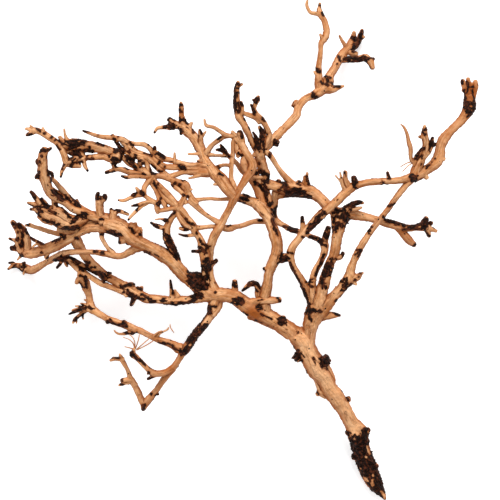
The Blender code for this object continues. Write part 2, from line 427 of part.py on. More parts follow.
    # Upright tan limb in the middle
    "middle upright": (
        (24, -92, 99, 16), (22, -74, 103, 16), (25, -58, 109, 15), (27, -45, 114, 14),
        (29, -32, 118, 15), (35, -18, 122, 17), (40, -5, 126, 18), (41, 8, 129, 18),
        (38, 20, 131, 19), (34, 33, 132, 18), (28, 47, 132, 18), (22, 58, 131, 19),
        (12, 68, 128, 17), (0, 73, 125, 13), (-10, 77, 122, 14), (-18, 77, 121, 9),
    ),
    "middle side spur": ((27, -28, 120, 9), (20, -28, 121, 4)),
    "middle knob": ((42, -12, 123, 14), (51, -12, 122, 13), (59, -11, 121, 10)),
    "centre upright": (
        (32, 60, 128, 9), (29, 72, 128, 8), (26, 83, 128, 9.5), (22, 95, 129, 12),
        (22, 105, 131, 12), (24, 113, 133, 13), (20, 122, 136, 14.5), (17, 131, 139, 14.5),
        (15, 141, 142, 14.5), (15, 148, 144, 12),
    ),
    "centre side twig": ((22, 110, 133, 6), (14, 109, 135, 5), (5, 109, 137, 4)),
    "right pointing stub": (
        (-6, -80, 106, 12), (8, -77.5, 108, 10.5), (20, -76, 109, 10), (34, -75.5, 108, 9.5),
        (46, -75, 107, 7),
    ),
    "curled stub": (
        (20, -80, 100, 8), (12, -68, 103, 8), (12, -57, 108, 8.5), (9, -51, 112, 8.5),
        (3, -50, 114, 8.5), (-3, -53, 115, 7.5), (-8, -58, 114, 5), (-12, -61.5, 113, 3),
    ),
    "dark upright stub": ((-23, -62, 106, 10), (-23, -54, 109, 8), (-23, -46, 112, 6.5)),
    # Arc limb from the centre to the dark head
    "arc limb": (
        (22, 101, 131, 13), (33, 97, 129, 16), (48, 93, 127, 18), (62, 92, 126, 22),
        (75, 91, 126, 21), (88, 88, 127, 20), (98, 83, 129, 18), (107, 76, 132, 17),
        (116, 67, 136, 17), (125, 60, 140, 17), (136, 53, 145, 18), (144, 49, 146, 11),
    ),
    "arc spike": ((84, 94, 129, 13), (85, 102, 134, 8), (85, 109, 138, 5), (86, 116, 142, 3)),
    "arc pale spike": ((82, 97, 130, 9), (82, 105, 134, 4.5), (82, 111, 138, 3)),
    "arc knob a": ((42, 97, 129, 11), (43, 105, 132, 5)),
    "arc knob b": ((73, 96, 129, 12), (73, 103, 132, 6)),
    "descending twig": (
        (17, 150, 145, 10), (24, 147, 144, 9), (28, 144, 143, 8.5), (33, 138, 141, 8),
        (38, 130, 138, 7), (44, 121, 136, 7), (50, 113, 133, 8.5), (58, 105, 130, 10),
        (66, 97, 128, 11),
    ),
    "cross strand": (
        (40, 93, 125, 11), (37, 80, 119, 10.5), (37.5, 69, 114, 8.5), (36, 58, 112, 7.5),
        (37, 50, 111, 7.5), (40, 43, 111, 8.5), (50, 37, 112, 8.5), (60, 31, 114, 8.5),
        (70, 28, 116, 8), (80, 25, 119, 7), (92, 20, 122, 7), (102, 16, 126, 7.5),
        (109, 11, 128, 9),
    ),
    # Right fork and its prongs
    "right stem": (
        (84, -152, 82, 24), (89, -140, 86, 23), (94, -128, 90, 22.5), (92, -115, 95, 23.5),
        (95, -101, 100, 25), (101, -88, 104, 27), (107, -78, 107, 20),
    ),
    "stem spur": ((100, -100, 101, 19), (111, -99, 102, 13), (121, -98, 103, 10), (136, -98, 105, 2.5)),
    "left prong": (
        (97, -96, 102, 18), (93.5, -84, 105, 13), (88.5, -70, 110, 11.5), (84, -58, 116, 12.5),
        (79, -48, 121, 11.8), (71, -35, 127, 10), (65, -25, 131, 9.5), (62, -15, 135, 9.5),
        (61, -4, 139, 11.5), (65, 6, 143, 11), (72, 15, 147, 11.5), (80, 25, 151, 12),
        (90, 35, 155, 12.5), (100, 46, 159, 13.5), (110, 56, 163, 13.5), (120, 64, 166, 13),
        (129, 72, 169, 12.5), (137, 80, 171, 12.5), (144, 86.5, 172, 13), (151, 93, 173, 13.5),
        (158, 97, 173, 12.5), (168, 99.5, 173, 11), (180, 101.8, 172, 10.5), (195, 103, 171, 10),
        (210, 103.8, 169, 9.8), (225, 104.8, 167, 10), (237, 107.5, 165, 12.5), (247, 110, 163, 15),
        (260, 117, 161, 13.5), (270, 124, 159, 14.5), (279, 131, 157, 17), (284, 142, 155, 17),
        (286, 154, 153, 15), (290, 165, 151, 15), (298, 175, 149, 13), (307, 184, 147, 12),
        (316, 193, 145, 12), (323, 202, 144, 14), (329, 212, 143, 17), (330, 222, 142, 17),
        (329, 232, 142, 15),
    ),
    "second prong": (
        (99, -88, 104, 16), (95.5, -76, 108, 13.5), (93.5, -65, 112, 12.5), (93, -52, 116, 11),
        (95.5, -38.5, 119, 9.5), (98.5, -30, 122, 9.5), (104.5, -20, 124, 9.8), (109, -10, 126, 9.8),
        (112, 0, 128, 10.2), (111.5, 8, 129, 12), (109, 15, 129, 9),
    ),
    "second prong stub": ((110, 8, 129, 11), (114, 21, 133, 9.5), (118, 34, 138, 8)),
    "third prong": (
        (101, -94, 103, 24), (104, -78, 109, 21), (108, -62, 116, 18.5), (112, -48, 122, 17.5),
        (116, -32, 128, 16), (121, -18, 133, 15.5), (127, -5, 138, 16), (129, 8, 141, 17),
        (131, 22, 144, 17), (135, 38, 147, 18), (139, 52, 149, 20), (141, 60, 151, 15),
    ),
    "third prong hook": ((126, -10, 137, 10), (135, -11, 141, 7.5), (140, -4, 145, 5)),
    "head finger high": (
        (140, 57, 150, 13), (148, 64.5, 155, 8.5), (154, 68.5, 158, 7.5), (163, 71.5, 160, 6),
        (170, 70.5, 162, 3.5),
    ),
    "head finger low": ((140, 55, 149, 11), (152, 61, 153.5, 7.5), (161, 62, 156, 5.5), (168, 64, 158, 2.6)),
    "fourth prong": (
        (104, -94, 105, 20), (112, -84, 109, 19), (119, -77, 113, 16), (126, -69, 117, 14),
        (134, -61, 121, 14), (141, -52, 125, 15), (147, -45, 128, 17), (150, -38, 130, 15.5),
        (151, -30, 133, 12.5), (154, -21, 136, 10.8), (158.7, -10.2, 139, 10.5), (165, 2.4, 143, 9.8),
        (173.1, 15.9, 147, 9.5), (182.1, 29.4, 150, 9), (192.9, 42.9, 153, 9), (201.9, 54.6, 155, 8.6),
        (210, 65.4, 157, 8.6), (218.1, 77.1, 159, 8.6), (227.1, 88.8, 161, 8.8), (234.5, 98, 163, 9.5),
        (242, 106, 164, 11),
    ),
    "fourth prong spur": ((147, -43, 128, 14), (158, -40, 131, 8.5), (170, -34, 134, 2.5)),
    "fourth prong flap": ((149, -44, 128, 12), (156, -49, 128, 6), (160, -52, 128, 3)),
    # Broken limb that lies to the right
    "broken limb": (
        (134, 50, 148, 16), (150, 53, 145, 14), (165, 51, 141, 12.5), (180, 48, 138, 10),
        (190, 45, 136, 10.5), (205, 40.5, 133, 11.5), (220, 36.5, 130, 12), (235, 33, 127, 10.5),
        (250, 34, 124, 9.5), (262, 36, 122, 12.5), (268, 36, 121, 8),
    ),
    "broken lobe up": ((260, 36, 122, 11), (263, 44, 125, 10), (265, 49, 127, 6)),
    "broken lobe right": ((264, 34, 121, 9), (272, 31, 119, 7), (280, 28, 117, 4)),
    "broken lobe down": ((263, 34, 121, 9), (267, 27, 118, 7.5), (269, 20, 116, 5)),
    "broken side limb": (
        (218, 37, 130, 10), (226, 29, 126, 9.5), (232, 22, 123, 10), (240, 13, 118, 11),
        (247, 7, 115, 7),
    ),
    # Twigs and stubs on the long right limb
    "long limb stub a": ((79, 24, 151, 9), (79, 38, 155, 6.5), (78, 50, 158, 4.5)),
    "long limb stub b": ((209, 105, 169, 7), (206, 117, 174, 4)),
    "long limb twig": (
        (145, 88, 173, 8), (139, 97, 178, 5), (137, 107, 183, 4), (135, 117, 187, 2),
    ),
    "long limb twig fork": ((139, 99, 179, 4), (134, 105, 183, 2.4), (128, 112, 187, 1.6)),
    "long limb stub c": ((149, 94, 174, 9), (143, 106, 179, 7), (143, 118, 184, 5)),
    "long limb stub d": ((158, 96, 174, 11), (157, 103, 179, 9.5), (155, 109.5, 183, 7)),
    "long limb stub e": ((262, 112, 161, 10), (266, 107, 161, 5)),
    "long limb stub f": ((284, 138, 157, 13), (292, 136, 158, 6)),
    "fork limb": (
        (246, 109, 163, 14), (250, 122, 165, 13.5), (255, 132, 168, 12.5), (260, 142, 171, 10.5),
        (263, 152, 174, 9.5), (264, 162, 177, 9.5), (262, 172, 180, 9.5), (262, 180, 182, 7.5),
        (262, 187, 184, 3),
    ),
    "fork limb spur": ((262, 169, 179, 7), (253, 170, 182, 3)),
    "fork dark strip": (
        (247, 128, 167, 7), (250, 139.5, 171, 7.5), (254.5, 146, 173.5, 6.5), (258.5, 151.5, 175, 6),
    ),
    "fork dark prong": ((262, 141, 171, 9), (269, 149, 173, 7.5), (272, 157, 175, 7.5), (274, 169, 178, 3.5)),
    "fork dark prong tip": ((272, 156, 175, 6), (281, 160, 178, 3)),
    "fork thin twig": (
        (250, 129, 167, 7), (242, 134, 169, 4.5), (241, 142, 171, 5.5), (241, 152, 173, 6),
        (238, 163, 175, 5.5), (235.5, 174, 177, 4.5), (231, 184, 179, 3.4), (226, 189, 181, 1.6),
    ),
    "end finger left": ((329, 226, 142, 13), (325, 239, 144, 9.5), (321, 248, 146, 9), (319, 255, 147, 6)),
    "end finger middle": ((329, 228, 142, 13), (328, 243, 143, 8.5), (327, 258, 144, 5)),
    "end finger right": ((331, 224, 142, 13), (336, 237, 141, 9), (338, 246, 141, 9.5), (338, 254, 141, 6)),
    # Limb that rises to the top of the picture and comes down to the floor at its knotted end
    "top right limb": (
        (13, 142, 144, 13), (18, 149, 143, 14), (25, 155, 141, 12.5), (33, 163, 138, 12.5),
        (42, 173, 133, 12), (52.5, 183.5, 127, 11.7), (63, 194, 121, 11.7), (70, 203, 116, 11.5),
        (72, 212.5, 111, 11.3), (77.5, 221, 106, 11.8), (85, 227.5, 99, 11), (98, 232.8, 91, 12.8),
        (107, 240, 84, 17), (116, 250, 75, 16), (120, 262, 64, 13), (126.5, 272, 54, 12.5),
        (132.5, 284, 40, 13), (138.5, 293, 29, 13.5), (144.5, 299.5, 18, 13), (150.5, 307, 8, 11.5),
        (153.5, 314, 4.3, 11), (155, 320, 6, 9), (156, 327, 9, 5),
    ),
    "top right spur": (
        (104, 240, 84, 14), (114, 241, 81, 14), (123, 241, 79, 12), (134, 244, 78, 6),
        (141, 246, 78, 2.5),
    ),
    "top right fork": (
        (105, 240, 84, 15), (103, 254, 84, 12.5), (103, 265, 83, 9.5), (103, 276, 82, 8),
        (105, 288, 81, 7.5), (106, 300, 80, 7.5), (107, 310, 79, 8), (112, 318, 78, 10),
        (115, 326, 77, 9.5), (114, 335, 76, 8.5), (111, 345, 75, 8), (106, 353, 74, 8.5),
        (104, 360, 73, 6.5), (105, 371, 71, 2.5),
    ),
    "top right fork arm": (
        (107, 352, 74, 7), (97, 355, 76, 6), (91, 356, 78, 5.5), (87.5, 361, 79, 5),
        (85, 368, 80, 4.5), (86.5, 375, 81, 2.5),
    ),
    "top right fork stub": ((110, 315, 79, 7), (105, 324, 81, 3.5)),
    "top right fork spur": ((103, 259, 84, 7), (96, 268, 86, 2.6)),
    "floor spike": ((146, 301, 17, 8), (142, 308, 21, 5.5), (138, 314, 25, 4.5), (134, 322, 29, 2.5)),
    "floor dark finger": (
        (149, 302, 15, 11), (156, 304, 13, 9), (161, 311, 12, 8.5), (166, 322, 14, 8),
        (168.5, 331, 16, 3.5),
    ),
    "floor dark finger tip": ((165, 317, 13, 6), (172, 320, 16, 3)),
    "floor arm": (
        (132, 288, 33, 13), (143, 286, 35, 9.5), (152, 286, 36, 9), (163, 286.5, 38, 9.5),
        (173, 288, 40, 10.5), (180, 283, 42, 9.5), (184, 272, 44, 6),
    ),
    "floor arm tip": ((177, 285, 41, 8), (186.5, 287, 44, 3)),
    "floor arm spike": ((171, 287, 40, 7), (172, 293.5, 42, 3)),
}

# Round knots and burls: x, y as seen, height of the middle, thickness
KNOTS = (
    (71.5, -159, 84, 16), (111.5, -166.5, 79, 17.5), (147.5, -223, 56, 9), (157, -310.5, 21, 9.5),
    (188, -324.5, 17, 9.5), (174.5, -272, 39, 10), (147.5, -275, 39, 8), (48, -106, 98, 14),
    (-175, 34, 130, 14), (-168, 29, 131, 12), (-212, -37, 79, 9), (271, 40, 121, 7),
    (-78, -47, 108, 28), (-222, 45, 124, 12), (-168, 24, 131, 14), (-202, 141, 156, 22),
    (-182, 139, 155, 13), (-163, 133, 155, 12), (-340, -25, 7, 9), (-241, -87, 51, 12),
    (-189, -110, 66, 9), (-212, -106, 58, 9), (-186, -53, 82, 12), (-185, -65, 84, 11),
    (-166, -59, 88, 10), (245, 109, 167, 12), (40, 161, 137, 12), (67.5, 219, 109, 10),
    (99, 234, 91, 11), (114, 255, 74, 12), (-16, 145, 160, 9), (-275, 79, 125, 11),
    (-262, 71, 121, 11), (-318, 132, 168, 8), (-319, 110, 160, 8), (-118, 186, 133, 12),
)


def real_places(rows):
    """Middles and radii in metres. The true x and y shrink by the share of the eye's distance gained."""
    seen = np.array(rows, float)
    shrink = 1 - (seen[:, 2] - PICTURE_HEIGHT) / EYE_DISTANCE
    middles = np.column_stack([seen[:, 0] * shrink, seen[:, 1] * shrink, seen[:, 2]])
    return middles * MM, seen[:, 3] * shrink / 2 * MM


def side_count(thickness):
    if thickness >= STOUT:
        return SIDES["stout"]
    if thickness >= SLENDER:
        return SIDES["middling"]
    return SIDES["slender"] if thickness >= WISPY else SIDES["wispy"]


def ring_axes(middles):
    """Two directions across the limb at each place, carried along it without twist."""
    along = np.gradient(middles, axis=0)
    along /= np.linalg.norm(along, axis=1)[:, None]
    across = np.cross(along[0], (0.0, 0.0, 1.0))
    pairs = []
    for direction in along:
        across = across - direction * np.dot(across, direction)
        across = across / np.linalg.norm(across)
        pairs.append((across, np.cross(direction, across)))
    return along, pairs


def limb_object(name, rows, collection):
    """A closed tube through the places, one ring to each, with a blunt point at both ends."""
    middles, radii = real_places(rows)
    sides = side_count(np.max([row[3] for row in rows]))
    along, pairs = ring_axes(middles)
    turns = 2 * np.pi * (np.arange(sides) + 0.5) / sides
    mesh = bmesh.new()
    rings = []
    for middle, radius, (across, upright) in zip(middles, radii, pairs):
        ring = [middle + radius * (np.cos(turn) * across + np.sin(turn) * upright) for turn in turns]
        rings.append([mesh.verts.new(place) for place in ring])
    for ring, following in zip(rings, rings[1:]):
        for i in range(sides):
            j = (i + 1) % sides
            mesh.faces.new((ring[i], ring[j], following[j], following[i]))
    for ring, place, outward in (
        (rings[0], middles[0], -along[0] * radii[0] * END_BULGE),
        (rings[-1], middles[-1], along[-1] * radii[-1] * END_BULGE),
    ):
        point = mesh.verts.new(place + outward)
        for i in range(sides):
            mesh.faces.new((ring[i], ring[(i + 1) % sides], point))
    bmesh.ops.recalc_face_normals(mesh, faces=mesh.faces)
    bmesh.ops.triangulate(mesh, faces=mesh.faces)
    return finished_object(name, mesh, collection)


def knot_object(name, row, collection):
    middles, radii = real_places([row])
    mesh = bmesh.new()
    bmesh.ops.create_icosphere(mesh, subdivisions=1, radius=radii[0])
    bmesh.ops.translate(mesh, verts=mesh.verts, vec=middles[0])
    return finished_object(name, mesh, collection)


def finished_object(name, mesh, collection):
    data = bpy.data.meshes.new(name)
    mesh.to_mesh(data)
    mesh.free()
    made = bpy.data.objects.new(name, data)
    collection.objects.link(made)
    return made


def new_collection(name):
    made = bpy.data.collections.new(name)
    bpy.context.scene.collection.children.link(made)
    return made


def apply_boolean(target, operation, collection):
    """Joins a collection's solids to the target, or cuts them from it, and removes the collection."""
    modifier = target.modifiers.new(operation.title(), "BOOLEAN")
    modifier.operation = operation
    modifier.operand_type = "COLLECTION"
    modifier.collection = collection
    modifier.solver = "MANIFOLD"
    graph = bpy.context.evaluated_depsgraph_get()
    data = bpy.data.meshes.new_from_object(target.evaluated_get(graph))
    target.modifiers.clear()
    target.data = data
    for other in list(collection.objects):
        bpy.data.objects.remove(other)
    bpy.data.collections.remove(collection)


def trim_to_floor(branch):
    """Cuts the three low points off level at the floor, so that the branch rests on small flats."""
    collection = new_collection("floor")
    mesh = bmesh.new()
    bmesh.ops.create_cube(mesh, size=1.0)
    bmesh.ops.scale(mesh, vec=(1.0, 1.0, FLOOR_DEPTH * MM), verts=mesh.verts)
    bmesh.ops.translate(mesh, vec=(0.0, 0.0, -FLOOR_DEPTH * MM / 2), verts=mesh.verts)
    block = finished_object("floor_cutter", mesh, collection)
    block.hide_render = True
    block.display_type = "WIRE"
    apply_boolean(branch, "DIFFERENCE", collection)


def thin_out(branch):
    """Collapses the slivers that the joins leave, and the flattest places, to the stated triangles."""
    branch.data.calc_loop_triangles()
    modifier = branch.modifiers.new("Thin", "DECIMATE")
    modifier.ratio = TRIANGLES / len(branch.data.loop_triangles)
    graph = bpy.context.evaluated_depsgraph_get()
    data = bpy.data.meshes.new_from_object(branch.evaluated_get(graph))
    branch.modifiers.clear()
    branch.data = data


def move_to_origin(branch):
    """Puts the middle of the branch's box over the origin, and its low points on the floor."""
    corners = np.array([vertex.co for vertex in branch.data.vertices])
    low, high = corners.min(axis=0), corners.max(axis=0)
    middle = ((low[0] + high[0]) / 2, (low[1] + high[1]) / 2, low[2])
    for vertex in branch.data.vertices:
        vertex.co = [value - shift for value, shift in zip(vertex.co, middle)]
    print("moved by", [round(-float(value) / MM, 3) for value in middle], "mm")


def bare_wood():
    material = bpy.data.materials.new("bare_wood")
    material.use_nodes = True
    shader = material.node_tree.nodes["Principled BSDF"]
    shader.inputs["Base Color"].default_value = (0.60, 0.31, 0.12, 1.0)
    shader.inputs["Roughness"].default_value = 0.75
    shader.inputs["Metallic"].default_value = 0.0
    return material


def main():
    for other in list(bpy.data.objects):
        bpy.data.objects.remove(other)
    branch = limb_object("branch", LIMBS["trunk"], bpy.context.scene.collection)
    others = new_collection("limbs")
    for name, rows in LIMBS.items():
        if name != "trunk":
            limb_object(name.replace(" ", "_"), rows, others)
    for number, row in enumerate(KNOTS, 1):
        knot_object(f"knot_{number}", row, others)
    apply_boolean(branch, "UNION", others)
    thin_out(branch)
    trim_to_floor(branch)
    move_to_origin(branch)
    branch.data.materials.clear()
    branch.data.materials.append(bare_wood())


main()
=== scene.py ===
"""A bare, weathered tree branch with remnants of dark bark, lying on a pale floor and seen from above.

The limbs are tubes carried along smooth curves through measured places. Each group of limbs is fused
into one skin, and the bark is raised on that skin where the marks say that it has stayed on.
"""

import bpy
import numpy as np
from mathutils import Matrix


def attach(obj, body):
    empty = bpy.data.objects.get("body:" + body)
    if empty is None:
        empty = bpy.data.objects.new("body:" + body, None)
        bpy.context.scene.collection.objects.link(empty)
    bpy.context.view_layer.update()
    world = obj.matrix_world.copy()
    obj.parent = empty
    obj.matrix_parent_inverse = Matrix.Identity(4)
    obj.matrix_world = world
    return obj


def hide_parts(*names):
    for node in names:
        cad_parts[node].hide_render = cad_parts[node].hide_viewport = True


bl_info = {
    "name": "Tree Branch",
    "version": (1, 0, 0),
    "blender": (4, 5, 0),
    "location": "View3D > Sidebar > Branch",
    "description": "Builds the skin, bark and fibres of a weathered tree branch",
    "category": "Object",
}

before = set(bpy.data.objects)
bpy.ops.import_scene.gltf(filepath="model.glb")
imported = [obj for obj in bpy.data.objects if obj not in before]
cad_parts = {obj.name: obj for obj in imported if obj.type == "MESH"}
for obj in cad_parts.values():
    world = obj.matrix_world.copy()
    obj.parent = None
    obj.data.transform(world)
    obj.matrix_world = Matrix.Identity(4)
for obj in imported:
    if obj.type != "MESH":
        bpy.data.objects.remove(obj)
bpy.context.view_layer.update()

MM = 0.001
EYE_DISTANCE = 3000.0  # from the eye down to the picture plane, mm
PICTURE_HEIGHT = 100.0  # height of the plane on which seen and true sizes agree, mm
SHIFT = (18.604, 4.297)  # from the places as seen to the solid's own origin, mm
PICTURE_WIDTH = 750.0  # what the picture spans at the picture height, mm

